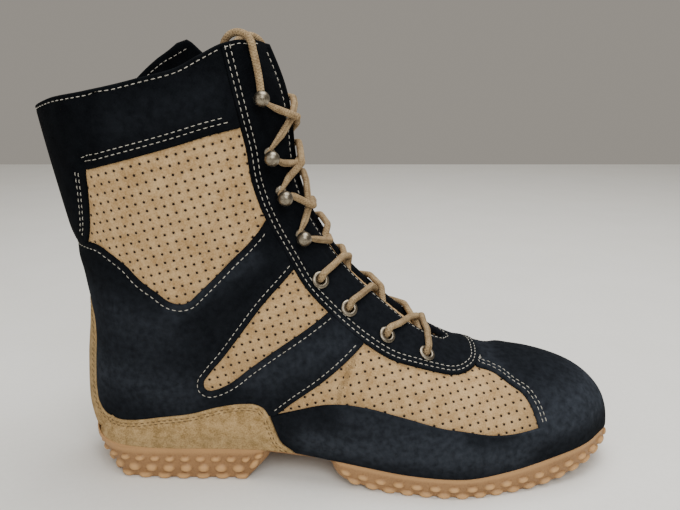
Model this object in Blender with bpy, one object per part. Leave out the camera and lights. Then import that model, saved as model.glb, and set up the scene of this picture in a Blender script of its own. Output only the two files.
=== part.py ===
"""Lace-up boot: a suede upper with sewn-on panels, on a rubber sole with oval studs round its two pads.

It is laced through four eyelets and round four ball studs a side.

Sizes are in millimetres, and MM turns them into metres. While modelling, x = 0 is near the back of the heel,
+X points to the toe, -Y is the outer (lateral) side and the floor is at FLOOR_Z. The root empty then moves
the middle of the boot's box, on the floor, to the origin.
"""

import math
from collections import namedtuple

import bmesh
import bpy
import numpy as np
from mathutils import Vector

MM = 0.001
CENTRE_X = 143.0
CENTRE_Y = -3.0
LATERAL, MEDIAL = -1, 1

# Sheet thicknesses and the gaps between pieces
WALL = 2.4
PANEL_LIFT = 0.3
PANEL_THICK = 1.3
SEAM = 0.5
FIT = 0.3
PANEL_TOP = PANEL_LIFT + PANEL_THICK

# Sections of the last, fanned from the toe round the heel and up the shaft. Each lies in a plane across the
# boot, from a bottom point (feather line, then back line) to a top point (ridge and throat).
# foot: half width at the bottom; half: greatest half width, at the share widest of the height
# crown: fullness of the upper half (2 is an ellipse); mid, ridge: sideways shift of the bottom and the top
Section = namedtuple(
    "Section",
    "bottom_x bottom_z top_x top_z foot_lat foot_med half_lat half_med widest crown mid ridge",
)
SECTIONS = (
    Section(295.4, 18.3, 294.6, 26.5, 0.0, 0.0, 0.0, 0.0, 0.30, 2.3, 5.0, 5.0),
    Section(293.0, 18.2, 291.2, 35.0, 13.3, 13.2, 13.8, 13.7, 0.30, 2.3, 5.0, 5.0),
    Section(286.0, 17.8, 283.2, 43.3, 21.9, 22.8, 22.9, 24.3, 0.30, 2.3, 4.5, 4.5),
    Section(274.0, 16.8, 271.0, 49.8, 31.9, 30.5, 33.4, 32.5, 0.28, 2.3, 3.5, 4.0),
    Section(255.0, 14.4, 252.0, 55.3, 39.2, 37.5, 40.7, 39.5, 0.26, 2.3, 2.0, 3.5),
    Section(230.0, 10.6, 227.0, 58.8, 45.8, 42.2, 47.3, 43.7, 0.24, 2.2, 1.0, 3.0),
    Section(205.0, 9.0, 206.0, 64.3, 49.4, 41.7, 50.9, 43.2, 0.22, 2.1, 0.0, 3.0),
    Section(180.0, 9.5, 185.0, 76.3, 46.7, 36.2, 48.7, 40.2, 0.22, 2.0, 0.0, 3.0),
    Section(155.0, 11.5, 163.0, 94.9, 41.2, 29.7, 44.7, 36.7, 0.25, 2.0, 0.0, 3.0),
    Section(130.0, 14.0, 146.0, 112.0, 35.7, 27.2, 40.7, 35.2, 0.30, 2.0, 0.0, 2.5),
    Section(105.0, 16.0, 135.3, 127.8, 32.2, 27.7, 37.7, 34.7, 0.34, 2.0, 0.0, 2.0),
    Section(75.0, 16.7, 128.6, 140.5, 31.2, 29.7, 35.7, 34.7, 0.38, 2.1, 0.0, 1.0),
    Section(45.0, 16.7, 124.9, 150.0, 30.7, 30.2, 35.2, 35.2, 0.42, 2.2, 0.0, 0.5),
    Section(22.3, 16.7, 122.7, 158.0, 27.2, 27.2, 35.3, 35.3, 0.46, 2.2, 0.0, 0.0),
    Section(10.8, 16.7, 121.2, 164.0, 17.0, 17.0, 35.8, 35.8, 0.48, 2.2, 0.0, 0.0),
    Section(6.8, 16.7, 120.7, 168.0, 0.0, 0.0, 36.6, 36.6, 0.50, 2.2, 0.0, 0.0),
    Section(3.1, 35.0, 120.2, 172.5, 0.0, 0.0, 36.2, 36.2, 0.50, 2.2, 0.0, 0.0),
    Section(4.7, 60.0, 119.6, 178.0, 0.0, 0.0, 36.1, 36.1, 0.50, 2.2, 0.0, 0.0),
    Section(8.1, 90.0, 119.0, 185.0, 0.0, 0.0, 36.4, 36.4, 0.50, 2.2, 0.0, 0.0),
    Section(4.1, 120.0, 118.0, 194.0, 0.0, 0.0, 37.2, 37.2, 0.50, 2.2, 0.0, 0.0),
    Section(-1.5, 150.0, 116.0, 204.0, 0.0, 0.0, 38.2, 38.2, 0.50, 2.2, 0.0, 0.0),
    Section(-6.1, 175.0, 112.3, 215.0, 0.0, 0.0, 38.7, 38.7, 0.50, 2.2, 0.0, 0.0),
    Section(-9.4, 195.0, 106.2, 229.5, 0.0, 0.0, 38.7, 38.7, 0.50, 2.2, 0.0, 0.0),
    Section(-11.2, 209.0, 100.6, 242.5, 0.0, 0.0, 38.7, 38.7, 0.50, 2.2, 0.0, 0.0),
    Section(-13.0, 223.0, 95.2, 255.5, 0.0, 0.0, 38.7, 38.7, 0.50, 2.2, 0.0, 0.0),
)
BELLY = 2.4
HEEL_ROW = 15
COLLAR_ROW = 22
THROAT_ROW = 6.15
# Half width of the throat by row of the section table
ThroatStop = namedtuple("ThroatStop", "row half_gap")
THROAT = (
    ThroatStop(THROAT_ROW, 0.0),
    ThroatStop(6.35, 7.0),
    ThroatStop(6.7, 10.5),
    ThroatStop(7.2, 12.0),
    ThroatStop(9.0, 10.5),
    ThroatStop(14.0, 11.5),
    ThroatStop(23.0, 13.0),
)
# The collar's edge dips between its back and its front corners: by how many rows, by place across the form
CollarStop = namedtuple("CollarStop", "across dip")
COLLAR_DIP = (
    CollarStop(-1.0, 0.0), CollarStop(-0.5, 0.0), CollarStop(-0.2, 0.14), CollarStop(0.0, 0.24),
    CollarStop(0.2, 0.29), CollarStop(0.4, 0.14), CollarStop(0.6, 0.0),
    CollarStop(0.7, 0.0), CollarStop(0.8, 0.08), CollarStop(0.9, 0.14), CollarStop(1.0, 0.24),
)
DIP_ROW = 19.0
# Mesh rows along the form: from one row of the table to another in so many steps
RowSpan = namedtuple("RowSpan", "first last steps")
ROW_SPANS = (
    RowSpan(0.0, 1.2, 2),
    RowSpan(1.2, THROAT_ROW, 5),
    RowSpan(THROAT_ROW, 7.2, 3),
    RowSpan(7.2, 13.0, 6),
    RowSpan(13.0, HEEL_ROW, 3),
    RowSpan(HEEL_ROW, COLLAR_ROW, 6),
)
LOW_COLUMNS = 3
HIGH_COLUMNS = 5

# Seams of the panels in the side view, (x, z)
EYESTAY_SEAM = (
    (84.0, 236.0), (94.5, 190.0), (99.5, 160.0), (106.0, 140.0), (117.0, 119.0), (137.0, 92.5),
    (155.0, 76.5), (171.0, 67.0), (193.0, 59.5), (208.0, 56.2), (216.0, 57.0), (222.0, 60.2),
)
CUFF_HEM = ((20.0, 167.0), (43.0, 173.0), (65.0, 179.0), (95.0, 187.0))
BACKSTAY_EDGE = ((14.5, 128.5), (19.4, 152.0), (20.0, 167.0), (30.5, 207.0), (34.0, 222.0))
QUARTER_TOP = (
    (14.5, 128.5), (28.0, 124.0), (43.0, 111.5), (56.0, 101.0), (62.0, 99.0), (68.0, 101.0),
    (80.0, 112.0), (106.0, 140.0),
)
STRAP_EDGE = ((155.0, 76.5), (132.0, 57.0), (109.0, 38.7))
GUARD_TOP = (
    (109.0, 38.7), (128.0, 44.5), (145.0, 46.7), (160.0, 45.0), (184.0, 39.0), (206.0, 34.6),
    (226.5, 31.2), (246.7, 32.5),
)
CAP_SEAM = ((246.7, 32.5), (243.2, 42.4), (233.5, 50.7), (216.0, 57.0), (222.0, 60.2))
COUNTER_FRONT = ((121.0, 8.0), (112.0, 21.5), (108.5, 31.0), (106.0, 38.4))
COUNTER_TOP = (
    (106.0, 38.4), (99.0, 45.2), (82.0, 43.5), (64.0, 38.5), (33.0, 33.6), (19.0, 32.9),
    (13.0, 38.5), (12.4, 47.0), (15.0, 78.0), (13.2, 89.0), (7.0, 97.0),
)
MIDDLE_WINDOW = (
    (117.0, 113.5), (126.0, 101.5), (137.0, 92.0), (112.0, 75.0), (85.0, 54.8), (76.0, 50.9),
    (71.6, 53.5), (75.0, 61.6), (92.5, 84.0),
)
# Where the panels' outlines run on past the form, so that their edges there are the form's own
PANEL_REACH = 90.0
ABOVE_COLLAR, ABOVE_TOE, BELOW_SOLE = 260.0, 90.0, 0.0
PAST_TOE, PAST_HEEL, PAST_THROAT = 320.0, -20.0, 160.0
CAP_TOP_X = 224.0

# Sole: height of the tread along the boot, and the side wall's steps
# grow: how far the wall stands out from the feather line; share: share of the sole's height there
FLOOR_Z = -1.6
SoleRow = namedtuple("SoleRow", "x tread_z")
SOLE_ROWS = (
    SoleRow(295.4, 12.3), SoleRow(293.0, 11.4), SoleRow(286.0, 9.3), SoleRow(274.0, 5.0), SoleRow(260.0, 1.0),
    SoleRow(248.0, -1.0), SoleRow(236.0, FLOOR_Z), SoleRow(221.0, FLOOR_Z), SoleRow(205.0, FLOOR_Z),
    SoleRow(184.0, FLOOR_Z), SoleRow(170.0, -0.6), SoleRow(158.0, 3.0), SoleRow(148.0, 7.2),
    SoleRow(141.0, 10.2), SoleRow(137.0, 11.6), SoleRow(120.0, 12.4), SoleRow(103.0, 13.4), SoleRow(100.0, 10.8),
    SoleRow(90.0, FLOOR_Z), SoleRow(66.0, FLOOR_Z), SoleRow(45.0, FLOOR_Z), SoleRow(31.0, FLOOR_Z),
    SoleRow(22.3, -1.2), SoleRow(15.0, -0.4), SoleRow(10.8, 0.6), SoleRow(8.4, 1.4), SoleRow(6.8, 2.0),
)
WallStep = namedtuple("WallStep", "grow share")
SOLE_WALL = (
    WallStep(1.6, 0.0), WallStep(2.5, 0.38), WallStep(1.9, 1.0),
)
# Round the back of the heel the wall leans in below: from BEVEL_START on, and in full behind BEVEL_END
HEEL_BEVEL = 8.5
BEVEL_START, BEVEL_END = 30.0, 9.0
WAIST_GROW = -1.2
WAIST_HEIGHT, PAD_HEIGHT = 3.0, 8.0
INSOLE_INSET = WALL + 2.2
INSOLE_THICK = 3.0

# Rows of oval studs on the sole's wall, between two places along the boot
StudRow = namedtuple("StudRow", "share length height pitch from_x through_row sides")
STUD_ROWS = (
    StudRow(0.67, 4.9, 2.8, 8.3, 95.0, HEEL_ROW, 4),
    StudRow(0.37, 6.4, 4.4, 9.4, 92.0, HEEL_ROW, 6),
    StudRow(0.12, 7.4, 2.8, 10.6, 88.0, HEEL_ROW, 4),
    StudRow(0.55, 5.4, 2.4, 9.3, 152.0, 0, 4),
    StudRow(0.19, 6.3, 2.4, 9.3, 160.0, 0, 4),
)
STUD_RISE = 1.0
STUD_SINK = 0.9
STUD_CREST = 0.45

# Lacing points on each side by row and place across the form
LacePoint = namedtuple("LacePoint", "row across")
EYELETS = (LacePoint(6.82, 0.76), LacePoint(7.76, 0.70), LacePoint(8.78, 0.67), LacePoint(9.85, 0.67))
LACE_STUDS = (
    LacePoint(11.27, 0.735), LacePoint(14.81, 0.725), LacePoint(17.95, 0.652), LacePoint(20.14, 0.662),
)
EYELET_HOLE, EYELET_BARREL, EYELET_FLANGE = 2.3, 3.0, 4.6
EYELET_LIP, EYELET_CREST, EYELET_HEIGHT = 2.5, 3.8, 0.9
PUNCH, PUNCH_END = 3.9, 8.0
BALL, BALL_NECK, BALL_BASE = 3.8, 1.5, 3.4
BALL_BASE_HEIGHT, BALL_NECK_HEIGHT = 0.8, 3.8
TURN_STEPS, BALL_STEPS = 8, 5
PUNCH_STEPS = 6
LACE = 1.8
LACE_LIFT = 5.0
LACE_CLEAR = 3.8
LACE_END_CLEAR = 2.6
LACE_SIDES = 5
LACE_POINTS = 5

# Tongue: top edge by place between the lateral wing (-1) and the medial wing (1), as rows of the table
TONGUE_GAP = 1.3
TONGUE_THICK = 2.4
TONGUE_FOOT_ROW = 5.9
TongueStop = namedtuple("TongueStop", "place top_row")
TONGUE_TOP = (
    TongueStop(-1.0, 21.2), TongueStop(-0.7, 21.5), TongueStop(-0.35, 21.8), TongueStop(0.0, 21.9),
    TongueStop(0.3, 21.9), TongueStop(0.56, 21.9), TongueStop(0.633, 23.2), TongueStop(0.75, 22.66),
    TongueStop(1.0, 21.57),
)
WING_ACROSS, FLAP_ACROSS = 0.5, -1 / 3
WING_ROW, FLAP_ROW = 17.0, 21.0

# Hand-set routes of the two lace ends, from the top ball stud over the collar and down inside
LACE_END_LATERAL = ((105.0, -27.4, 207.5), (103.8, -26.3, 214.6), (102.2, -25.5, 221.8), (101.1, -24.4, 226.2),
                    (98.3, -22.7, 229.3), (94.4, -21.2, 230.4), (90.6, -19.9, 229.3), (87.9, -19.2, 226.3),
                    (86.8, -18.8, 221.8), (86.2, -18.6, 214.0), (86.0, -18.5, 206.5))
LACE_END_MEDIAL = ((105.4, 28.2, 207.5), (104.3, 26.8, 215.0), (102.6, 24.8, 223.0), (99.2, 21.4, 229.2),
                   (94.0, 17.2, 230.8), (88.9, 13.4, 227.4), (86.4, 11.4, 220.0), (85.6, 10.6, 211.0))
CORD_POINT_STEP = 5.2

Finish = namedtuple("Finish", "color roughness metallic")
FINISHES = {
    "navy_suede": Finish((0.010, 0.012, 0.020), 0.95, 0.0),
    "tan_suede": Finish((0.420, 0.290, 0.150), 0.92, 0.0),
    "counter_suede": Finish((0.360, 0.240, 0.115), 0.95, 0.0),
    "gum_rubber": Finish((0.450, 0.205, 0.060), 0.55, 0.0),
    "insole_board": Finish((0.160, 0.110, 0.065), 0.90, 0.0),
    "antique_metal": Finish((0.330, 0.300, 0.250), 0.38, 1.0),
    "lace_cord": Finish((0.380, 0.250, 0.130), 0.85, 0.0),
}


def clear_scene():
    for obj in list(bpy.data.objects):
        bpy.data.objects.remove(obj, do_unlink=True)


def finish(name):
    """The named material, made once."""
    material = bpy.data.materials.get(name)
    if material is None:
        material = bpy.data.materials.new(name)
        material.use_nodes = True
        shader = material.node_tree.nodes["Principled BSDF"]
        look = FINISHES[name]
        shader.inputs["Base Color"].default_value = (*look.color, 1.0)
        shader.inputs["Roughness"].default_value = look.roughness
        shader.inputs["Metallic"].default_value = look.metallic
    return material


def place(obj, material, parent):
    """Links an object into the scene under its parent, with its finish."""
    bpy.context.collection.objects.link(obj)
    obj.parent = parent
    if material:
        obj.data.materials.append(finish(material))
    return obj


def add_mesh(name, points, faces, material, parent, sharp_degrees=40.0):
    """One object from points in millimetres, shaded smooth with sharp edges kept."""
    mesh = bpy.data.meshes.new(name)
    mesh.from_pydata((np.asarray(points) * MM).tolist(), [], faces)
    shade(mesh, sharp_degrees)
    return place(bpy.data.objects.new(name, mesh), material, parent)


def shade(mesh, sharp_degrees):
    mesh.shade_smooth()
    mesh.set_sharp_from_angle(angle=math.radians(sharp_degrees))


def make_helper(obj):
    """A cutter or a form that only shapes other pieces."""
    obj.hide_render = True
    obj.display_type = "WIRE"
    return obj


def combine(obj, other, operation):
    modifier = obj.modifiers.new(f"{operation.lower()}_{other.name}", "BOOLEAN")
    modifier.operation = operation
    modifier.object = other
    modifier.solver = "EXACT"


def smooth_table(table, row, closed=False):
    """Reads a table at fractional row numbers, on a smooth curve through its rows (cubic Hermite).

    A column is level where it turns back or stops changing, so the curve never swings past its rows.
    """
    table = np.asarray(table, float)
    count = len(table)
    row = np.asarray(row, float) if closed else np.clip(row, 0, count - 1)
    after = np.roll(table, -1, axis=0) - table
    before = np.roll(after, 1, axis=0)
    if not closed:
        before[0], after[-1] = after[0], before[-1]
    slope = np.where(before * after > 0, (before + after) / 2, 0.0)
    first = np.floor(row).astype(int) if closed else np.minimum(row.astype(int), count - 2)
    t = (row - first)[..., None]
    first, second = first % count, (first + 1) % count
    start = (2 * t**3 - 3 * t**2 + 1) * table[first] + (t**3 - 2 * t**2 + t) * slope[first]
    end = (3 * t**2 - 2 * t**3) * table[second] + (t**3 - t**2) * slope[second]
    return start + end


def form(row, across, side, throat_open=True):
    """Points of the last's outer surface.

    across runs from -1 at the feather or back line, through 0 at the widest line, to 1 at the throat's
    edge, or at the ridge where the throat is closed. Each half of a section is a superellipse arc.
    """
    row, across, side = np.broadcast_arrays(*(np.asarray(v, float) for v in (row, across, side)))
    if throat_open:
        dip = np.interp(across, *np.array(COLLAR_DIP).T)
        row = row - dip * np.clip((row - DIP_ROW) / (COLLAR_ROW - DIP_ROW), 0, 1)
    cut = Section(*np.moveaxis(smooth_table(SECTIONS, row), -1, 0))
    half = np.maximum(np.where(side < 0, cut.half_lat, cut.half_med), 1e-6)
    foot = np.where(side < 0, cut.foot_lat, cut.foot_med)
    stops = np.array(THROAT)
    gap = np.interp(row, stops[:, 0], stops[:, 1]) * throat_open
    low_end = np.arccos(np.clip(foot / half, 0, 1))
    high_end = np.arccos(np.clip(gap / half, 0, 1))
    low = low_end * np.clip(-across, 0, 1)
    high = high_end * np.clip(across, 0, 1)
    drop = (np.sin(low) / np.maximum(np.sin(low_end), 1e-6)) ** (2 / BELLY)
    rise = np.sin(high) ** (2 / cut.crown)
    height = np.where(across < 0, cut.widest * (1 - drop), cut.widest + (1 - cut.widest) * rise)
    reach = np.where(across < 0, np.cos(low), np.cos(high))
    x = cut.bottom_x + height * (cut.top_x - cut.bottom_x)
    y = cut.mid + height * (cut.ridge - cut.mid) + side * half * reach
    z = cut.bottom_z + height * (cut.top_z - cut.bottom_z)
    return np.stack([x, y, z], axis=-1)


def seat(row, across, side, lift, throat_open=True):
    """Points lift mm above the form, and the outward normals there."""
    step = 1e-3
    here = form(row, across, side, throat_open)
    along = form(np.asarray(row) + step, across, side, throat_open) - here
    up = here - form(row, np.asarray(across) - step, side, throat_open)
    normal = -np.asarray(side, float)[..., None] * np.cross(up, along)
    normal /= np.linalg.norm(normal, axis=-1, keepdims=True)
    return here + lift * normal, normal


def mesh_rows():
    spans = [np.linspace(s.first, s.last, s.steps + 1)[1:] for s in ROW_SPANS]
    return np.concatenate([[0.0], *spans])


def form_grid():
    """The form as one open sheet: points, triangles, and which points lie on the feather line."""
    rows = mesh_rows()
    across = np.concatenate([np.linspace(-1, 0, LOW_COLUMNS + 1), np.linspace(0, 1, HIGH_COLUMNS + 1)[1:]])
    lateral = form(rows[:, None], across[None, :], LATERAL)
    medial = form(rows[:, None], across[None, :], MEDIAL)
    count = lateral.shape[0] * lateral.shape[1]
    left = np.arange(count).reshape(lateral.shape[:2])
    right = left + count
    right[0] = left[0]
    right[rows >= HEEL_ROW, 0] = left[rows >= HEEL_ROW, 0]
    right[rows <= THROAT_ROW, -1] = left[rows <= THROAT_ROW, -1]
    points = np.concatenate([lateral.reshape(-1, 3), medial.reshape(-1, 3)])
    quads = np.concatenate([quads_of(left), quads_of(right[:, ::-1])])
    triangles = split(quads, points, right[0])
    feather = np.zeros(len(points), bool)
    feather[left[rows <= HEEL_ROW, 0]] = True
    feather[right[rows <= HEEL_ROW, 0]] = True
    used = np.unique(triangles)
    renumber = np.full(len(points), -1)
    renumber[used] = np.arange(len(used))
    return points[used], renumber[triangles], feather[used]


def split(quads, points, tip=()):
    """Triangles of quads, so that offset layers keep parallel facets.

    Each quad is cut by its shorter diagonal, or beside the toe's tip by the one leaving the tip's line.
    """
    quads = np.asarray(quads)
    corners = points[quads]
    first = np.linalg.norm(corners[:, 2] - corners[:, 0], axis=1)
    second = np.linalg.norm(corners[:, 3] - corners[:, 1], axis=1)
    turned = second < first
    on_tip = np.isin(quads, tip)
    turned = np.where(on_tip.sum(axis=1) == 2, quads[:, 0] < quads[:, 1], turned)
    quads = np.where(turned[:, None], np.roll(quads, -1, axis=1), quads)
    return np.concatenate([quads[:, [0, 1, 2]], quads[:, [0, 2, 3]]])


def quads_of(grid):
    """Quads of a grid of point numbers, wound so that they face left of the way along the rows."""
    quads = np.stack([grid[:-1, :-1], grid[:-1, 1:], grid[1:, 1:], grid[1:, :-1]], axis=-1)
    return quads.reshape(-1, 4).tolist()


def sheet_normals(points, triangles):
    """Outward normals at the points: the mean of the faces round each."""
    corners = points[triangles]
    face = np.cross(corners[:, 1] - corners[:, 0], corners[:, 2] - corners[:, 0])
    normals = np.zeros_like(points)
    for corner in range(3):
        np.add.at(normals, triangles[:, corner], face)
    return normals / np.linalg.norm(normals, axis=1, keepdims=True)


def thicken(points, normals, triangles, inner, outer):
    """A closed wall between two offsets of an open sheet: both faces and the rim round its open edges."""
    count = len(points)
    edges = set()
    for triangle in triangles.tolist():
        edges.update(zip(triangle, triangle[1:] + triangle[:1]))
    rim = [(end, start, start + count, end + count)
           for start, end in sorted(edges) if (end, start) not in edges]
    walls = np.concatenate([points + outer * normals, points + inner * normals])
    return walls, [*triangles.tolist(), *(triangles[:, ::-1] + count).tolist(), *rim]


def wall_of_form(inner, outer):
    """A closed wall that follows the form, level along the feather line so that it stands on the sole."""
    points, triangles, feather = form_grid()
    normals = sheet_normals(points, triangles)
    normals[feather, 2] = 0.0
    normals /= np.linalg.norm(normals, axis=1, keepdims=True)
    return thicken(points, normals, triangles, inner, outer)


def shrink(outline, distance):
    """A closed outline moved inwards along its corners' bisectors."""
    outline = np.asarray(outline, float)
    before = outline - np.roll(outline, 1, axis=0)
    after = np.roll(outline, -1, axis=0) - outline
    area = np.sum(outline[:, 0] * np.roll(outline[:, 1], -1) - outline[:, 1] * np.roll(outline[:, 0], -1))
    turn = 1.0 if area > 0 else -1.0
    inwards = [turn * np.stack([-e[:, 1], e[:, 0]], axis=1) / np.linalg.norm(e, axis=1, keepdims=True)
               for e in (before, after)]
    corner = inwards[0] + inwards[1]
    share = np.maximum(np.sum(corner * inwards[0], axis=1, keepdims=True), 0.5)
    return outline + distance * corner / share


def prism(name, outline, gap, parent):
    """A helper solid: a side-view outline, drawn in by gap, run through the boot from side to side."""
    inset = shrink(outline, gap)
    shape = bmesh.new()
    corners = [shape.verts.new((x * MM, -PANEL_REACH * MM, z * MM)) for x, z in inset]
    base = shape.faces.new(corners)
    swept = bmesh.ops.extrude_face_region(shape, geom=[base])
    moved = [v for v in swept["geom"] if isinstance(v, bmesh.types.BMVert)]
    bmesh.ops.translate(shape, verts=moved, vec=(0.0, 2 * PANEL_REACH * MM, 0.0))
    bmesh.ops.recalc_face_normals(shape, faces=shape.faces)
    mesh = bpy.data.meshes.new(name)
    shape.to_mesh(mesh)
    shape.free()
    return make_helper(place(bpy.data.objects.new(name, mesh), None, parent))


def add_panel(name, material, parent, outline, window=None, side=None):
    """A panel sewn on the upper: the layer just outside the form, cut to its outline."""
    points, faces = wall_of_form(PANEL_LIFT, PANEL_TOP)
    panel = add_mesh(name, points, faces, material, parent)
    cutter = prism(f"{name}_outline", outline, SEAM / 2, parent)
    if side is not None:
        for vertex in cutter.data.vertices:
            if vertex.co.y * side < 0:
                vertex.co.y = side * PANEL_TOP * MM
    combine(panel, cutter, "INTERSECT")
    if window is not None:
        combine(panel, prism(f"{name}_window", window, 0.0, parent), "DIFFERENCE")
    return panel


def add_panels(parent):
    """All panels; neighbours share their seam lines."""
    collar_front, collar_back = EYESTAY_SEAM[0][0], BACKSTAY_EDGE[-1][0]
    counter_high, quarter_high = COUNTER_TOP[-1][1], QUARTER_TOP[0][1]
    counter_foot = (COUNTER_FRONT[0][0], BELOW_SOLE)
    cap_top = (CAP_TOP_X, ABOVE_TOE)
    throat = [cap_top, (PAST_THROAT, ABOVE_COLLAR), (collar_front, ABOVE_COLLAR)]
    eyestay = add_panel("eyestay", "navy_suede", parent, [*EYESTAY_SEAM, *throat])
    cap = [cap_top, (PAST_TOE, ABOVE_TOE), (PAST_TOE, BELOW_SOLE), counter_foot]
    add_panel("toe_cap", "navy_suede", parent, [*COUNTER_FRONT, *GUARD_TOP[:-1], *CAP_SEAM, *cap])
    heel = [(PAST_HEEL, counter_high), (PAST_HEEL, BELOW_SOLE), counter_foot]
    add_panel("heel_counter", "counter_suede", parent, [*COUNTER_FRONT[:-1], *COUNTER_TOP, *heel])
    back = [(PAST_HEEL, counter_high), (PAST_HEEL, quarter_high)]
    quarter = [*QUARTER_TOP, *EYESTAY_SEAM[4:7], *STRAP_EDGE[1:], *COUNTER_TOP, *back]
    add_panel("quarter", "navy_suede", parent, quarter, window=MIDDLE_WINDOW)
    spine = [(collar_back, ABOVE_COLLAR), (PAST_HEEL, ABOVE_COLLAR), (PAST_HEEL, quarter_high)]
    add_panel("backstay", "navy_suede", parent, [*BACKSTAY_EDGE, *spine])
    rim = [EYESTAY_SEAM[0], (collar_front, ABOVE_COLLAR), (collar_back, ABOVE_COLLAR)]
    cuff = [*CUFF_HEM, *rim, *BACKSTAY_EDGE[:2:-1]]
    for side, label in ((LATERAL, "lateral"), (MEDIAL, "medial")):
        add_panel(f"cuff_{label}", "navy_suede", parent, cuff, side=side)
    return eyestay


def tongue_sheet():
    """The closed form behind the throat: points, normals and triangles."""
    place_across, top_row = np.array(TONGUE_TOP).T
    rows = mesh_rows()
    inner = rows[(rows >= THROAT_ROW) & (rows < HEEL_ROW)]
    inner = np.append(inner, np.arange(HEEL_ROW, np.floor(min(top_row)), 2))
    row = np.concatenate([[TONGUE_FOOT_ROW], inner])[:, None] * np.ones_like(top_row)
    row = np.concatenate([row, top_row[None, :]])
    side = np.where(place_across < 0, LATERAL, MEDIAL) * np.ones_like(row)
    flap = np.clip((row - WING_ROW) / (FLAP_ROW - WING_ROW), 0, 1) * (side > 0)
    wing = WING_ACROSS + (FLAP_ACROSS - WING_ACROSS) * flap
    across = 1 - np.abs(place_across) * (1 - wing)
    points, normals = seat(row, across, side, 0.0, throat_open=False)
    grid = np.arange(row.size).reshape(row.shape)
    points = points.reshape(-1, 3)
    return points, normals.reshape(-1, 3), split(quads_of(grid), points)


def add_tongue(parent):
    points, normals, triangles = tongue_sheet()
    outer = -(WALL + TONGUE_GAP)
    walls, faces = thicken(points, normals, triangles, outer - TONGUE_THICK, outer)
    return add_mesh("tongue", walls, faces, "tan_suede", parent)


def feather_loop():
    """The feather line as a closed loop of x, y and z: the lateral rows, then the medial rows back."""
    foot = SECTIONS[: HEEL_ROW + 1]
    lateral = [(s.bottom_x, s.mid - s.foot_lat, s.bottom_z) for s in foot]
    medial = [(s.bottom_x, s.mid + s.foot_med, s.bottom_z) for s in foot[1:-1]]
    return np.array([*lateral, *medial[::-1]])


def plan_point(turn, grow):
    """Points beside the feather line, grow mm outside it in plan, at loop places turn."""
    step = 1e-3
    loop = feather_loop()
    here = smooth_table(loop, turn, closed=True)
    ahead = smooth_table(loop, np.asarray(turn) + step, closed=True) - here
    outward = np.stack([-ahead[..., 1], ahead[..., 0]], axis=-1)
    outward /= np.linalg.norm(outward, axis=-1, keepdims=True)
    here[..., :2] += np.asarray(grow)[..., None] * outward
    return here


def turns_at(x):
    """Loop places on the lateral side and on the medial side where the feather line passes x."""
    lateral = np.linspace(0, HEEL_ROW, 400)
    medial = np.linspace(HEEL_ROW, 2 * HEEL_ROW, 400)
    loop = feather_loop()
    lateral_x = smooth_table(loop, lateral, closed=True)[:, 0]
    medial_x = smooth_table(loop, medial, closed=True)[:, 0]
    return np.interp(-np.asarray(x), -lateral_x, lateral), np.interp(x, medial_x, medial)


def tread_height(x):
    table = np.array(SOLE_ROWS)[::-1]
    return np.interp(x, table[:, 0], table[:, 1])


def sole_wall(turn, share):
    """Points of the sole's side wall at a share of its height; the wall draws in where the sole is thin."""
    turn, share = np.broadcast_arrays(np.asarray(turn, float), np.asarray(share, float))
    steps = np.array(SOLE_WALL)
    base = plan_point(turn, np.zeros_like(turn))
    tread = tread_height(base[..., 0])
    height = base[..., 2] - FIT - tread
    pad = np.clip((height - WAIST_HEIGHT) / (PAD_HEIGHT - WAIST_HEIGHT), 0, 1)
    heel = np.clip((BEVEL_START - base[..., 0]) / (BEVEL_START - BEVEL_END), 0, 1)
    grow = WAIST_GROW + pad * (np.interp(share, steps[:, 1], steps[:, 0]) - WAIST_GROW)
    grow = grow - HEEL_BEVEL * heel * (1 - share)
    wall = plan_point(turn, grow)
    wall[..., 2] = tread + share * height
    return wall


def ring_turns():
    """Loop places of the sole's rows: down the lateral side from the toe and back up the medial side."""
    x = np.array(SOLE_ROWS)[:, 0]
    lateral, medial = turns_at(x)
    lateral[0], lateral[-1] = 0.0, HEEL_ROW
    return np.concatenate([lateral, medial[1:-1][::-1]])


def stacked_rings(levels):
    """A closed body through rings of points stacked from the bottom, with strips across both ends."""
    count = levels[0].shape[0]
    half = count // 2
    number = np.arange(len(levels) * count).reshape(len(levels), count)
    around = np.concatenate([number, number[:, :1]], axis=1)
    faces = quads_of(around[:, ::-1])
    opposite = (-np.arange(half + 1)) % count
    for ring, turned in ((number[0], True), (number[-1], False)):
        strip = np.stack([ring[np.arange(half + 1)], ring[opposite]], axis=1)
        faces += quads_of(strip[:, ::-1] if turned else strip)
    faces = [tuple(dict.fromkeys(face)) for face in faces]
    return np.concatenate(levels), faces


def even_turns(row):
    """Loop places of one row of studs, evenly spaced along the wall from one side to the other."""
    lateral, medial = turns_at(row.from_x)
    if row.through_row == HEEL_ROW:
        fine = np.linspace(lateral, medial, 600)
    else:
        fine = np.linspace(medial, 2 * HEEL_ROW + lateral, 600)
    path = sole_wall(fine, row.share)
    length = np.concatenate([[0.0], np.cumsum(np.linalg.norm(np.diff(path, axis=0), axis=1))])
    count = int(length[-1] // row.pitch)
    return np.interp(np.linspace(0, length[-1], count + 1), length, fine)


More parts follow.
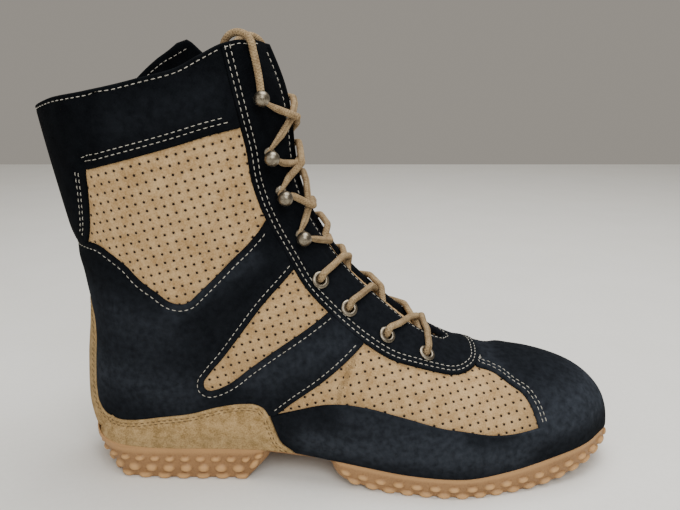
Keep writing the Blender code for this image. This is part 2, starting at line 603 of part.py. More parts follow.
def sole_studs(row):
    """Points and faces of one row of studs: few-sided ovals rising from inside the wall to a crest."""
    step = 1e-3
    turn = even_turns(row)
    here = sole_wall(turn, row.share)
    along = sole_wall(turn + step, row.share) - here
    up = sole_wall(turn, row.share + step) - here
    along /= np.linalg.norm(along, axis=1, keepdims=True)
    normal = np.cross(along, up)
    normal /= np.linalg.norm(normal, axis=1, keepdims=True)
    upward = np.cross(normal, along)
    angle = 2 * math.pi * np.arange(row.sides) / row.sides
    oval = (row.length / 2 * np.cos(angle)[:, None] * along[:, None, :]
            + row.height / 2 * np.sin(angle)[:, None] * upward[:, None, :])
    base = here[:, None, :] + oval - STUD_SINK * normal[:, None, :]
    half = row.sides // 2
    crest = here[:, None, :] + STUD_CREST * oval[:, [0, half]] + STUD_RISE * normal[:, None, :]
    points = np.concatenate([base, crest], axis=1).reshape(-1, 3)
    front, back = row.sides, row.sides + 1
    middle = angle + math.pi / row.sides
    end = np.where(np.cos(middle) > -1e-6, front, back).tolist()
    stud = [tuple(reversed(range(row.sides)))]
    stud += [(k, (k + 1) % row.sides, end[k]) for k in range(row.sides)]
    stud += [(k, end[k], end[k - 1]) for k in range(row.sides) if end[k] != end[k - 1]]
    faces = [[first + k for k in face] for first in range(0, len(points), row.sides + 2) for face in stud]
    return points, faces


def add_outsole(parent):
    """Rubber sole: heel pad, waist and forefoot pad in one, with rows of studs joined to its wall."""
    turns = ring_turns()
    points, faces = stacked_rings([sole_wall(turns, step.share) for step in SOLE_WALL])
    sole = add_mesh("outsole", points, faces, "gum_rubber", parent, sharp_degrees=30.0)
    for number, row in enumerate(STUD_ROWS):
        points, faces = sole_studs(row)
        studs = add_mesh(f"sole_studs_{number}", points, faces, None, parent)
        combine(sole, outward(make_helper(studs)), "UNION")
    return sole


def outward(obj):
    shape = bmesh.new()
    shape.from_mesh(obj.data)
    bmesh.ops.recalc_face_normals(shape, faces=shape.faces)
    shape.to_mesh(obj.data)
    shape.free()
    return obj


def add_insole(parent):
    turns = ring_turns()
    edge = plan_point(turns, np.full_like(turns, -INSOLE_INSET))
    rings = [edge, edge + (0.0, 0.0, INSOLE_THICK)]
    points, faces = stacked_rings(rings)
    return add_mesh("insole", points, faces, "insole_board", parent)


def turned_mesh(name, profile, closed, steps=TURN_STEPS):
    """A mesh turned round Z from a profile of (radius, height); a closed profile is a ring's section."""
    shape = bmesh.new()
    corners = [shape.verts.new((r * MM, 0.0, z * MM)) for r, z in profile]
    pairs = list(zip(corners, corners[1:]))
    if closed:
        pairs.append((corners[-1], corners[0]))
    edges = [shape.edges.new(pair) for pair in pairs]
    bmesh.ops.spin(shape, geom=[*corners, *edges], axis=(0, 0, 1), cent=(0, 0, 0), angle=2 * math.pi,
                   steps=steps, use_merge=True)
    bmesh.ops.remove_doubles(shape, verts=shape.verts, dist=1e-6)
    bmesh.ops.recalc_face_normals(shape, faces=shape.faces)
    mesh = bpy.data.meshes.new(name)
    shape.to_mesh(mesh)
    shape.free()
    shade(mesh, 50.0)
    return mesh


def stand_on_form(obj, point, side, lift):
    """Sets a turned piece upright on the form at a lacing point."""
    spot, normal = seat(point.row, point.across, side, lift)
    obj.location = Vector(spot) * MM
    obj.rotation_euler = Vector(normal).to_track_quat("Z", "Y").to_euler()


def add_eyelets(parent, upper, eyestay):
    """Turned eyelets in real holes: a rolled flange on the eyestay and a barrel through both layers."""
    inside = FIT - PANEL_TOP - WALL
    profile = ((EYELET_HOLE, inside), (EYELET_BARREL, inside), (EYELET_BARREL, FIT), (EYELET_FLANGE, FIT),
               (EYELET_CREST, EYELET_HEIGHT), (EYELET_LIP, EYELET_HEIGHT))
    punch = ((0.0, -PUNCH_END), (PUNCH, -PUNCH_END), (PUNCH, PUNCH_END), (0.0, PUNCH_END))
    for side, label in ((LATERAL, "lateral"), (MEDIAL, "medial")):
        for number, point in enumerate(EYELETS, start=1):
            name = f"eyelet_{label}_{number}"
            eyelet = bpy.data.objects.new(name, turned_mesh(name, profile, closed=True))
            place(eyelet, "antique_metal", parent)
            hole_mesh = turned_mesh(f"{name}_punch", punch, closed=False, steps=PUNCH_STEPS)
            hole = bpy.data.objects.new(f"{name}_punch", hole_mesh)
            make_helper(place(hole, None, parent))
            stand_on_form(eyelet, point, side, PANEL_TOP)
            stand_on_form(hole, point, side, PANEL_TOP)
            combine(upper, hole, "DIFFERENCE")
            combine(eyestay, hole, "DIFFERENCE")


def add_lace_studs(parent):
    """Ball studs: a riveted base, a neck that the lace runs round and a ball."""
    neck_top = BALL_BASE_HEIGHT + BALL_NECK_HEIGHT
    lowest = math.asin(BALL_NECK / BALL)
    middle = neck_top + BALL * math.cos(lowest)
    arc = np.linspace(lowest, math.pi, BALL_STEPS)
    ball = [(BALL * math.sin(a), middle - BALL * math.cos(a)) for a in arc[:-1]]
    profile = ((0.0, 0.0), (BALL_BASE, 0.0), (BALL_NECK, BALL_BASE_HEIGHT), *ball, (0.0, middle + BALL))
    for side, label in ((LATERAL, "lateral"), (MEDIAL, "medial")):
        for number, point in enumerate(LACE_STUDS, start=len(EYELETS) + 1):
            name = f"lace_stud_{label}_{number}"
            stud = bpy.data.objects.new(name, turned_mesh(name, profile, closed=False))
            place(stud, "antique_metal", parent)
            stand_on_form(stud, point, side, PANEL_TOP + FIT)


def beside(point, side, distance):
    """The lacing point moved along the form by distance mm, as a row and a place across the closed form."""
    step = 1e-2
    ahead = form(point.row + step, point.across, side) - form(point.row, point.across, side)
    row = point.row + distance * step / np.linalg.norm(ahead)
    stops = np.array(THROAT)
    cut = Section(*smooth_table(SECTIONS, row))
    half = cut.half_lat if side < 0 else cut.half_med
    high_end = math.acos(np.interp(row, stops[:, 0], stops[:, 1]) / half)
    return row, point.across * high_end / (math.pi / 2)


def strand_path(start, end, start_side):
    """A strand over the throat, from above one lacing point to below the next on the other side."""
    row_a, across_a = beside(start, start_side, LACE_CLEAR)
    row_b, across_b = beside(end, -start_side, -LACE_CLEAR)
    share = np.linspace(0, 1, LACE_POINTS)
    row = row_a + share * (row_b - row_a)
    swing = start_side * ((1 - across_a) * (1 - share) - (1 - across_b) * share)
    side = np.where(swing < 0, LATERAL, MEDIAL)
    points, _ = seat(row, 1 - np.abs(swing), side, LACE_LIFT, throat_open=False)
    return points


def tube(path, radius, sides):
    """A closed tube along a path: points and faces, with its rings square to the path."""
    ahead = np.gradient(path, axis=0)
    ahead /= np.linalg.norm(ahead, axis=1, keepdims=True)
    upright = np.cross(ahead, np.cross((0.0, 0.0, 1.0), ahead))
    upright /= np.linalg.norm(upright, axis=1, keepdims=True)
    level = np.cross(ahead, upright)
    angle = 2 * math.pi * np.arange(sides) / sides
    ring = np.cos(angle)[:, None] * upright[:, None, :] + np.sin(angle)[:, None] * level[:, None, :]
    points = (path[:, None, :] + radius * ring).reshape(-1, 3)
    number = np.arange(len(points)).reshape(len(path), sides)
    faces = quads_of(np.concatenate([number, number[:, :1]], axis=1))
    return points, [*faces, number[0].tolist(), number[-1][::-1].tolist()]


def add_lacing(parent):
    """Crossings of the lace between neighbouring lacing points: two strands joined where they cross."""
    stops = EYELETS + LACE_STUDS
    for number, (start, end) in enumerate(zip(stops, stops[1:]), start=1):
        strands = []
        for side, label in ((LATERAL, f"lace_cross_{number}"), (MEDIAL, f"lace_strand_{number}")):
            points, faces = tube(strand_path(start, end, side), LACE, LACE_SIDES)
            strands.append(outward(add_mesh(label, points, faces, "lace_cord", parent, sharp_degrees=70.0)))
        combine(strands[0], make_helper(strands[1]), "UNION")


def add_lace_end(name, route, side, parent):
    """A free lace end: a round cord from the top ball stud along its route."""
    row, across = beside(LACE_STUDS[-1], side, LACE_END_CLEAR)
    start, _ = seat(row, across, side, LACE_LIFT, throat_open=False)
    stops = np.concatenate([[start], route])
    fine = smooth_table(stops, np.linspace(0, len(stops) - 1, 200))
    length = np.concatenate([[0.0], np.cumsum(np.linalg.norm(np.diff(fine, axis=0), axis=1))])
    count = int(length[-1] / CORD_POINT_STEP) + 1
    places = np.interp(np.linspace(0, length[-1], count), length, np.arange(len(fine)))
    points = smooth_table(fine, places)
    cord = bpy.data.curves.new(name, "CURVE")
    cord.dimensions = "3D"
    cord.bevel_depth = LACE * MM
    cord.bevel_resolution = 2
    cord.use_fill_caps = True
    spline = cord.splines.new("POLY")
    spline.points.add(count - 1)
    for stop, point in zip(spline.points, points):
        stop.co = (*(point * MM), 1.0)
    place(bpy.data.objects.new(name, cord), "lace_cord", parent)


def main():
    clear_scene()
    root = bpy.data.objects.new("boot", None)
    bpy.context.collection.objects.link(root)
    root.location = (-CENTRE_X * MM, -CENTRE_Y * MM, -FLOOR_Z * MM)
    points, faces = wall_of_form(-WALL, 0.0)
    upper = add_mesh("upper", points, faces, "tan_suede", root)
    add_outsole(root)
    add_insole(root)
    add_tongue(root)
    eyestay = add_panels(root)
    add_eyelets(root, upper, eyestay)
    add_lace_studs(root)
    add_lacing(root)
    add_lace_end("lace_end_lateral", LACE_END_LATERAL, LATERAL, root)
    add_lace_end("lace_end_medial", LACE_END_MEDIAL, MEDIAL, root)


main()
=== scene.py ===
"""Looks of the lace-up boot: suede upper and panels, stitching, metal lacing points, lace and gum sole.

Sizes are millimetres in the boot's construction frame: x = 0 near the back of the heel, +X to the toe, -Y the
outer (lateral) side, the floor at z = -1.6. make_piece moves them into the shared frame, in metres.
"""

import logging
import math
from dataclasses import dataclass
from enum import Enum
from typing import Any, NamedTuple, Sequence

import bpy
import numpy as np
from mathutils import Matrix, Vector


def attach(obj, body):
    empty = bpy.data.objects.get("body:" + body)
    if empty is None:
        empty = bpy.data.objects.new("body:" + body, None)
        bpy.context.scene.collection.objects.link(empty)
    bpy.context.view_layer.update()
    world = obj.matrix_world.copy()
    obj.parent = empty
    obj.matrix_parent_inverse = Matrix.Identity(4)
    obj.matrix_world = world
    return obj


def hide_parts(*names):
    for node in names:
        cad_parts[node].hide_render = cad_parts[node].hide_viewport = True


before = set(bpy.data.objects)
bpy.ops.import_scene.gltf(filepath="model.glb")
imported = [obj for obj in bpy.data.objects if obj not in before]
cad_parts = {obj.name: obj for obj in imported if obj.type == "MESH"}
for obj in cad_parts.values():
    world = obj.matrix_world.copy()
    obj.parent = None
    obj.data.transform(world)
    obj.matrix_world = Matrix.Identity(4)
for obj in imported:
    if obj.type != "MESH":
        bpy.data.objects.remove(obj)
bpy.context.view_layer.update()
LOG = logging.getLogger("boot")
Array = np.ndarray

MM = 0.001
CENTRE = np.array([143.0, -3.0, -1.6])
# A direction that no path and no axis here runs along
SKEW = np.array([0.31, 0.17, 0.93])


class Side(Enum):
    """The two sides of the foot, with the sign of Y there."""

    LATERAL = -1
    MEDIAL = 1

    @property
    def label(self) -> str:
        """The side's name as the CAD nodes spell it."""
        return self.name.lower()


# Small tools on arrays


def unit(vectors: Array) -> Array:
    """Vectors scaled to length one along the last axis."""
    return vectors / np.maximum(np.linalg.norm(vectors, axis=-1, keepdims=True), 1e-12)


def smoothstep(low: float, high: float, value: Array) -> Array:
    """Cubic ramp from 0 at low to 1 at high."""
    t = np.clip((value - low) / (high - low), 0.0, 1.0)
    return t * t * (3 - 2 * t)


def arc_lengths(line: Array) -> Array:
    """Length along a polyline up to each of its points."""
    return np.concatenate([[0.0], np.cumsum(np.linalg.norm(np.diff(line, axis=0), axis=1))])


def resample(line: Array, places: Array) -> Array:
    """Rows of a table of points, read at given lengths along its first three columns.

    Args:
        line: points with any further columns, in order.
        places: lengths along the line.

    Returns:
        One row for each place, linear between the line's rows.
    """
    along = arc_lengths(line[:, :3])
    return np.stack([np.interp(places, along, column) for column in line.T], axis=1)


def hermite(t: Array, start: Array, end: Array, start_slope: Array, end_slope: Array) -> Array:
    """Cubic from start to end, with given slopes there, at shares t of the way."""
    left = (2 * t**3 - 3 * t**2 + 1) * start + (t**3 - 2 * t**2 + t) * start_slope
    return left + (3 * t**2 - 2 * t**3) * end + (t**3 - t**2) * end_slope


def curve_through(points: Sequence[Sequence[float]], step: float = 1.0) -> Array:
    """Evenly stepped points on a smooth curve: cubic Hermite pieces over chord length.

    Args:
        points: three or more stops that the curve passes, in two or three dimensions.
        step: about how far apart the points come, in millimetres.

    Returns:
        The points, first and last stops included.
    """
    stops = np.asarray(points, float)
    chord = arc_lengths(stops)
    slope = np.gradient(stops, chord, axis=0)
    at = np.linspace(0.0, chord[-1], max(int(chord[-1] / step), 2) + 1)
    k = np.clip(np.searchsorted(chord, at, "right") - 1, 0, len(stops) - 2)
    span = (chord[k + 1] - chord[k])[:, None]
    t = (at - chord[k])[:, None] / span
    return hermite(t, stops[k], stops[k + 1], span * slope[k], span * slope[k + 1])


def read_table(table: Array, row: Array, closed: bool = False) -> Array:
    """Reads a table at fractional rows on cubic Hermite pieces that are level where a column turns.

    Args:
        table: rows of values.
        row: row numbers, of any shape.
        closed: whether the last row joins the first.

    Returns:
        Values, with the table's columns as the last axis.
    """
    table = np.asarray(table, float)
    count = len(table)
    row = np.asarray(row, float) if closed else np.clip(row, 0, count - 1)
    after = np.roll(table, -1, axis=0) - table
    before = np.roll(after, 1, axis=0)
    if not closed:
        before[0], after[-1] = after[0], before[-1]
    slope = np.where(before * after > 0, (before + after) / 2, 0.0)
    first = np.floor(row).astype(int) if closed else np.minimum(row.astype(int), count - 2)
    t = (row - first)[..., None]
    first, second = first % count, (first + 1) % count
    return hermite(t, table[first], table[second], slope[first], slope[second])


class Nearest(NamedTuple):
    """What is nearest on a line: distance, length along the line, and the way from there to the point."""

    distance: Array
    along: Array
    offset: Array


def nearest_on(points: Array, line: Array) -> Nearest:
    """Nearest places on a polyline: each point dropped square on every piece, and the shortest drop kept.

    Args:
        points: points in two or three dimensions.
        line: the polyline in as many dimensions.

    Returns:
        The nearest places.
    """
    start, span = line[:-1], np.diff(line, axis=0)
    square = np.maximum((span**2).sum(axis=1), 1e-12)
    before = arc_lengths(line)[:-1]
    parts = []
    for block in np.array_split(points, max(1, len(points) * len(span) // 1_500_000)):
        rel = block[:, None, :] - start
        t = np.clip((rel * span).sum(axis=2) / square, 0.0, 1.0)
        offset = rel - t[..., None] * span
        gap = (offset**2).sum(axis=2)
        best = gap.argmin(axis=1)
        pick = np.arange(len(block))
        along = before[best] + t[pick, best] * np.sqrt(square[best])
        parts.append((np.sqrt(gap[pick, best]), along, offset[pick, best]))
    return Nearest(*(np.concatenate(column) for column in zip(*parts)))


def inside(points: Array, outline: Array) -> Array:
    """Whether points lie in a closed outline: an odd number of its edges crosses the line to their right."""
    start, end = outline[:-1], outline[1:]
    result = []
    for block in np.array_split(points, max(1, len(points) * len(start) // 3_000_000)):
        across, up = block[:, :1], block[:, 1:]
        spans = (start[:, 1] > up) != (end[:, 1] > up)
        rise = np.where(end[:, 1] == start[:, 1], 1e-9, end[:, 1] - start[:, 1])
        reach = start[:, 0] + (up - start[:, 1]) / rise * (end[:, 0] - start[:, 0])
        result.append((spans & (across < reach)).sum(axis=1) % 2 == 1)
    return np.concatenate(result)


def grid_quads(numbers: Array) -> Array:
    """Quads between neighbouring rows and columns of a grid of point numbers."""
    quads = np.stack([numbers[:-1, :-1], numbers[:-1, 1:], numbers[1:, 1:], numbers[1:, :-1]], axis=-1)
    return quads.reshape(-1, 4)


def halved(quads: Array) -> Array:
    """Triangles of quads, cut from first to third corner."""
    return np.concatenate([quads[:, [0, 1, 2]], quads[:, [0, 2, 3]]])


def ring_quads(rings: int, sides: int) -> Array:
    """Quads of a tube of rings with an even number of sides, and fans of quads over its ends."""
    numbers = np.arange(rings * sides).reshape(rings, sides)
    wall = grid_quads(np.concatenate([numbers, numbers[:, :1]], axis=1))
    fan = np.arange(1, sides - 1, 2)
    cap = np.stack([np.zeros_like(fan), fan, fan + 1, fan + 2], axis=1)
    return np.concatenate([wall, cap[:, ::-1], cap + (rings - 1) * sides])


# Finishes


def linear(hex_colour: str) -> tuple[float, float, float, float]:
    """Six hex digits of an sRGB colour as linear RGBA for a shader socket."""
    values = [int(hex_colour[k : k + 2], 16) / 255 for k in (0, 2, 4)]
    return (*(v / 12.92 if v <= 0.04045 else ((v + 0.055) / 1.055) ** 2.4 for v in values), 1.0)


def set_inputs(tree: bpy.types.NodeTree, node: Any, inputs: dict) -> None:
    """Links output sockets to a node's inputs, by name or number, and sets plain values there."""
    for key, value in inputs.items():
        if isinstance(value, bpy.types.NodeSocket):
            tree.links.new(value, node.inputs[key])
        else:
            node.inputs[key].default_value = value


def add_node(tree: bpy.types.NodeTree, kind: str, inputs: dict | None = None, **settings: Any) -> Any:
    """Adds a shader node.

    Args:
        tree: the material's node tree.
        kind: the node's type name without its ShaderNode prefix.
        inputs: input names or numbers to an output socket to link, or to a value to set.
        settings: the node's own properties.

    Returns:
        The node.
    """
    node = tree.nodes.new(f"ShaderNode{kind}")
    for key, value in settings.items():
        setattr(node, key, value)
    set_inputs(tree, node, inputs or {})
    return node


def maths(tree: bpy.types.NodeTree, operation: str, *values: Any) -> Any:
    """The socket of a sum, product or other operation on values or sockets."""
    return add_node(tree, "Math", dict(enumerate(values)), operation=operation).outputs[0]


def vectors(tree: bpy.types.NodeTree, operation: str, *values: Any) -> Any:
    """The socket of an operation on vectors: a vector, or a number where that is what it gives."""
    outputs = add_node(tree, "VectorMath", dict(enumerate(values)), operation=operation).outputs
    return outputs["Value" if operation == "LENGTH" else "Vector"]


def ramp(
    tree: bpy.types.NodeTree, value: Any, start: float, end: float, low: float = 0.0, high: float = 1.0
) -> Any:
    """The socket of a value led from low at start to high at end, and level beyond them."""
    inputs = {"Value": value, "From Min": start, "From Max": end, "To Min": low, "To Max": high}
    return add_node(tree, "MapRange", inputs).outputs[0]


def mixed(tree: bpy.types.NodeTree, share: Any, first: Any, second: Any) -> Any:
    """The socket of a colour between two colours or sockets, by the second one's share."""
    return add_node(tree, "Mix", {0: share, 6: first, 7: second}, data_type="RGBA").outputs[2]


def bump(tree: bpy.types.NodeTree, height: Any, depth_mm: float, below: Any = None) -> Any:
    """A normal's socket, bumped by a height socket from 0 to 1, over another normal where one is given."""
    inputs = {"Height": height, "Distance": depth_mm * MM}
    return add_node(tree, "Bump", inputs if below is None else {**inputs, "Normal": below}).outputs[0]


@dataclass(frozen=True)
class Finish:
    """A surface finish: two tones mixed by noise, and the shader's values that are the same all over."""

    name: str
    dark: str
    light: str
    roughness: float
    mottle_mm: float
    grain_mm: float
    grain_depth_mm: float
    metallic: float = 0.0
    sheen: float = 0.0
    specular: float = 0.3
    sheen_roughness: float = 0.55
    mottle_octaves: float = 4.0
    grain_octaves: float = 3.0
    # Sums of mottling and grain where the dark and the light tone are alone
    blend: tuple[float, float] = (0.75, 1.25)

    def material(self) -> bpy.types.Material:
        """The finish's material, made once."""
        made = bpy.data.materials.get(self.name)
        if made is None:
            made = bpy.data.materials.new(self.name)
            made.use_nodes = True
            tree = made.node_tree
            colour, normal = self.paint(tree)
            set_inputs(tree, tree.nodes["Principled BSDF"], {
                "Base Color": colour,
                "Normal": normal,
                "Roughness": self.roughness,
                "Metallic": self.metallic,
                "Sheen Weight": self.sheen,
                "Sheen Roughness": self.sheen_roughness,
                "Sheen Tint": linear(self.light),
                "Specular IOR Level": self.specular,
            })
        return made

    def noise(self, tree: bpy.types.NodeTree, size_mm: float, octaves: float) -> Any:
        """The socket of a noise on Object coordinates, with spots of a given width."""
        place = add_node(tree, "TexCoord").outputs["Object"]
        inputs = {"Vector": place, "Scale": 1.0 / (size_mm * MM), "Detail": octaves}
        return add_node(tree, "TexNoise", inputs).outputs[0]

    def tones(self, tree: bpy.types.NodeTree) -> tuple[Any, Any]:
        """Sockets of the colour, mixed by broad mottling and fine grain, and of the grain itself."""
        mottle = self.noise(tree, self.mottle_mm, self.mottle_octaves)
        grain = self.noise(tree, self.grain_mm, self.grain_octaves)
        share = ramp(tree, maths(tree, "ADD", mottle, grain), *self.blend)
        return mixed(tree, share, linear(self.dark), linear(self.light)), grain

    def paint(self, tree: bpy.types.NodeTree) -> tuple[Any, Any]:
        """The finish's colour and normal.

        Args:
            tree: the material's node tree.

        Returns:
            The colour socket and the normal socket.
        """
        colour, grain = self.tones(tree)
        return colour, bump(tree, grain, self.grain_depth_mm)


@dataclass(frozen=True)
class NappedSuede(Finish):
    """Suede, buffed to a nap: matte, with a soft sheen, brushed lighter and darker patches, and a dust colour
    on it.

    The dust colour's amount is the mesh's own attribute; its rise towards the floor is partly painted light,
    which brightens the navy's lower parts.
    """

    # Colour mixed in by the dust attribute: dust, and on the navy's lower parts partly painted light
    dust_and_light: str = "3a3f47"
    brush_mm: float = 3.0
    brush_octaves: float = 5.0

    def paint(self, tree: bpy.types.NodeTree) -> tuple[Any, Any]:
        """Two tones, then the dust colour in brushed patches, partly painted light low down, and a nap that
        stands up in small tufts.
        """
        colour, grain = self.tones(tree)
        patch = self.noise(tree, self.brush_mm, self.brush_octaves)
        # The dust amount is partly painted light: more of the paler tone low down on the navy, where the
        # lower parts are lit
        dust_and_light_amount = add_node(tree, "Attribute", attribute_name="dust_and_light").outputs["Fac"]
        colour = mixed(tree, maths(tree, "MULTIPLY", dust_and_light_amount, patch), colour, linear(self.dust_and_light))
        normal = bump(tree, patch, self.grain_depth_mm * 2.0)
        return colour, bump(tree, grain, self.grain_depth_mm, normal)


@dataclass(frozen=True)
class PerforatedSuede(NappedSuede):
    """Suede with punched holes in a square lattice laid out in millimetres by the piece's own UV map; each
    hole is painted shade with a painted highlight round its rim.
    """

    # Colour of the painted shade in each hole, and of the painted highlight round its rim
    hole: str = "20140c"
    rim: str = "d9bd97"
    pitch_mm: float = 4.5
    hole_mm: float = 1.4
    hole_depth_mm: float = 0.8
    rim_highlight_strength: float = 0.35
    # Shares of the hole's radius between which the rim's painted highlight fades in, the hole's painted shade
    # closes and the wall falls
    rim_highlight_span: tuple[float, float] = (1.7, 1.0)
    hole_shade_span: tuple[float, float] = (1.1, 0.8)
    wall_span: tuple[float, float] = (0.6, 1.5)

    def paint(self, tree: bpy.types.NodeTree) -> tuple[Any, Any]:
        """Suede, a painted highlight on a punched rim and painted shade in a sunk hole, by distance from the
        lattice's points.
        """
        colour, normal = super().paint(tree)
        flat = add_node(tree, "UVMap", uv_map="pattern").outputs[0]
        cell = vectors(tree, "FRACTION", vectors(tree, "MULTIPLY", flat, (1 / self.pitch_mm,) * 3))
        reach = vectors(tree, "LENGTH", vectors(tree, "SUBTRACT", cell, (0.5, 0.5, 0.0)))
        edge = self.hole_mm / 2 / self.pitch_mm
        rim, dark, wall = (
            [edge * share for share in span] for span in (self.rim_highlight_span, self.hole_shade_span, self.wall_span))
        # Painted highlight round each hole's rim, then painted shade filling the hole
        colour = mixed(tree, ramp(tree, reach, *rim, high=self.rim_highlight_strength), colour, linear(self.rim))
        colour = mixed(tree, ramp(tree, reach, *dark), colour, linear(self.hole))
        return colour, bump(tree, ramp(tree, reach, *wall), self.hole_depth_mm, normal)


@dataclass(frozen=True)
class WovenCord(Finish):
    """Round braided cotton cord: strands that cross in a herringbone, laid out by the piece's own UV map."""

    strand_mm: float = 1.5
    strands: float = 4.0
    strand_depth_mm: float = 0.12
    # Heights of the braid between which the shade in its gaps fades, and how strong that shade is
    shade_span: tuple[float, float] = (-0.6, 0.8)
    shade: float = 0.55

    def paint(self, tree: bpy.types.NodeTree) -> tuple[Any, Any]:
        """Two crossed waves round and along the cord, higher where a strand lies on top."""
        colour, grain = self.tones(tree)
        flat = add_node(tree, "UVMap", uv_map="pattern").outputs[0]
        waves = (2 * math.pi * self.strands, 2 * math.pi / self.strand_mm, 0.0)
        around, along, _ = add_node(tree, "SeparateXYZ", {0: vectors(tree, "MULTIPLY", flat, waves)}).outputs
        one, two = (maths(tree, "SINE", maths(tree, way, around, along)) for way in ("ADD", "SUBTRACT"))
        high = maths(tree, "MAXIMUM", one, two)
        colour = mixed(tree, ramp(tree, high, *self.shade_span, self.shade, 0.0), colour, linear(self.dark))
        return colour, bump(tree, high, self.strand_depth_mm, bump(tree, grain, self.grain_depth_mm))


@dataclass(frozen=True)
class StuddedRubber(Finish):
    """Moulded rubber with a painted highlight on its raised studs: the paler tone comes in by how high up its
    dome a point lies, which the mesh's own attribute marks.
    """

    # Colour of the painted highlight on the studs' tops
    stud_highlight: str = "c29764"

    def paint(self, tree: bpy.types.NodeTree) -> tuple[Any, Any]:
        """The rubber's own tones, mixed with the paler painted highlight on the studs."""
        colour, normal = super().paint(tree)
        raised = add_node(tree, "Attribute", attribute_name="raised").outputs["Fac"]
        return mixed(tree, raised, colour, linear(self.stud_highlight)), normal


class Finishes(Enum):
    """All finishes of the boot and its stage."""

    # Navy calf suede: near black, with a grey-blue dust colour in brushed patches that is partly dust and,
    # low down, partly painted light
    NAVY = NappedSuede("napped_navy_suede", "040507", "0b0d10", 0.97, 7.0, 0.7, 0.12,
                       sheen=0.015, specular=0.04)
    # Tan suede with punched air holes, drawn as painted shade with a painted highlight round each: pale,
    # sandy, evenly speckled by its nap
    TAN = PerforatedSuede("perforated_tan_suede", "9a7b53", "c1a277", 0.93, 6.0, 0.8, 0.10,
                          sheen=0.08, specular=0.15, dust_and_light="866b48")
    # Tan suede of the counter: coarser and darker, rubbed grey-brown along its edges
    COUNTER = NappedSuede("coarse_tan_suede", "83683f", "bb9d70", 0.95, 4.0, 0.8, 0.25,
                          sheen=0.08, specular=0.15, dust_and_light="877656")
    # Moulded gum rubber: warm amber brown, satin, faintly cloudy, with a painted highlight on its studs
    GUM = StuddedRubber("moulded_gum_rubber", "84623f", "9b754d", 0.55, 16.0, 0.9, 0.03, specular=0.35)
    # Antique nickel plate on brass: pale grey-gold, softly polished, clouded by handling
    PLATE = Finish("antique_plated_brass", "625a4e", "968d7c", 0.36, 2.5, 0.35, 0.01, metallic=1.0)
    # Braided cotton lace: sandy, matte
    LACE = WovenCord("braided_cotton_lace", "786246", "a8916e", 0.88, 4.0, 0.5, 0.05,
                     sheen=0.15, specular=0.2)
    # Waxed sewing thread: cream, and a browner one on the counter
    CREAM = Finish("cream_sewing_thread", "8f8b80", "bdb9ae", 0.7, 3.0, 0.3, 0.03)
    BROWN = Finish("brown_sewing_thread", "4a3a24", "6f5836", 0.75, 3.0, 0.3, 0.03)
    # Brushed cotton lining and sock: dull sand
    LINING = Finish("brushed_cotton_lining", "6d5a42", "8b7558", 0.95, 3.0, 0.6, 0.12,
                    sheen=0.2, specular=0.1)
    # Painted board under the boot: warm white, even
    BOARD = Finish("painted_board", "e6e5df", "eae9e4", 0.6, 60.0, 3.0, 0.01)


def make_piece(
    name: str,
    points: Array,
    faces: Any,
    finishes: Sequence[Finishes],
    replaces: Sequence[str] = (),
    pattern: Array | None = None,
    attributes: dict[str, Array] | None = None,
    face_finish: Array | None = None,
    sharp_degrees: float | None = None,
) -> bpy.types.Object:
    """Makes a mesh object from points in millimetres, rides it on the boot and reports it.

    Args:
        name: the piece's name.
        points: points in the construction frame.
        faces: lists of point numbers.
        finishes: the finishes of its material slots.
        replaces: the CAD nodes that it stands for.
        pattern: a UV of each point, in millimetres.
        attributes: further values of each point, by name.
        face_finish: which material slot each face takes.
        sharp_degrees: edges bent more than this stay sharp.

    Returns:
        The object.
    """
    mesh = bpy.data.meshes.new(name)
    polygons = faces.tolist() if isinstance(faces, Array) else faces
    mesh.from_pydata(((points - CENTRE) * MM).tolist(), [], polygons)
    mesh.shade_smooth()
    if sharp_degrees is not None:
        mesh.set_sharp_from_angle(angle=math.radians(sharp_degrees))
    corners = np.empty(len(mesh.loops), np.int32)
    mesh.loops.foreach_get("vertex_index", corners)
    if pattern is not None:
        mesh.uv_layers.new(name="pattern").data.foreach_set("uv", pattern[corners].astype(np.float32).ravel())
    for key, values in (attributes or {}).items():
        mesh.attributes.new(key, "FLOAT", "POINT").data.foreach_set("value", values.astype(np.float32))
    for look in finishes:
        mesh.materials.append(look.value.material())
    if face_finish is not None:
        mesh.polygons.foreach_set("material_index", face_finish.astype(np.int32))
    mesh.update()
    piece = bpy.data.objects.new(name, mesh)
    bpy.context.scene.collection.objects.link(piece)
    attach(piece, "root")
    if replaces:
        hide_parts(*replaces)
    LOG.info("%s: %d points, %d faces", name, len(points), len(mesh.polygons))
    return piece


def tube(path: Array, radius: Array | float, sides: int) -> tuple[Array, Array, Array]:
    """A round tube along a path, whose rings turn with it and never twist.

    Each ring's frame comes from a fixed direction, and the twist that this adds from ring to ring is summed
    along the path and taken back.

    Args:
        path: points along the middle.
        radius: one radius, or one for each point.
        sides: points of a ring.

    Returns:
        Points, quads, and a UV of turns round and millimetres along.
    """
    ahead = unit(np.gradient(path, axis=0))
    first = unit(np.cross(ahead, SKEW))
    second = np.cross(ahead, first)
    carried = unit(first[:-1] - (first[:-1] * ahead[1:]).sum(axis=1, keepdims=True) * ahead[1:])
    twist = np.arctan2((carried * second[1:]).sum(axis=1), (carried * first[1:]).sum(axis=1))
    turn = np.concatenate([[0.0], np.cumsum(twist)])
    angle = turn[:, None] + 2 * math.pi * np.arange(sides) / sides
    ring = np.cos(angle)[..., None] * first[:, None] + np.sin(angle)[..., None] * second[:, None]
    radius = np.broadcast_to(radius, len(path))
    points = path[:, None] + radius[:, None, None] * ring
    around = np.broadcast_to(np.arange(sides) / sides, (len(path), sides))
    along = np.broadcast_to(arc_lengths(path)[:, None], (len(path), sides))
    pattern = np.stack([around, along], axis=-1).reshape(-1, 2)
    return points.reshape(-1, 3), ring_quads(len(path), sides), pattern


# The last and the sheets over it

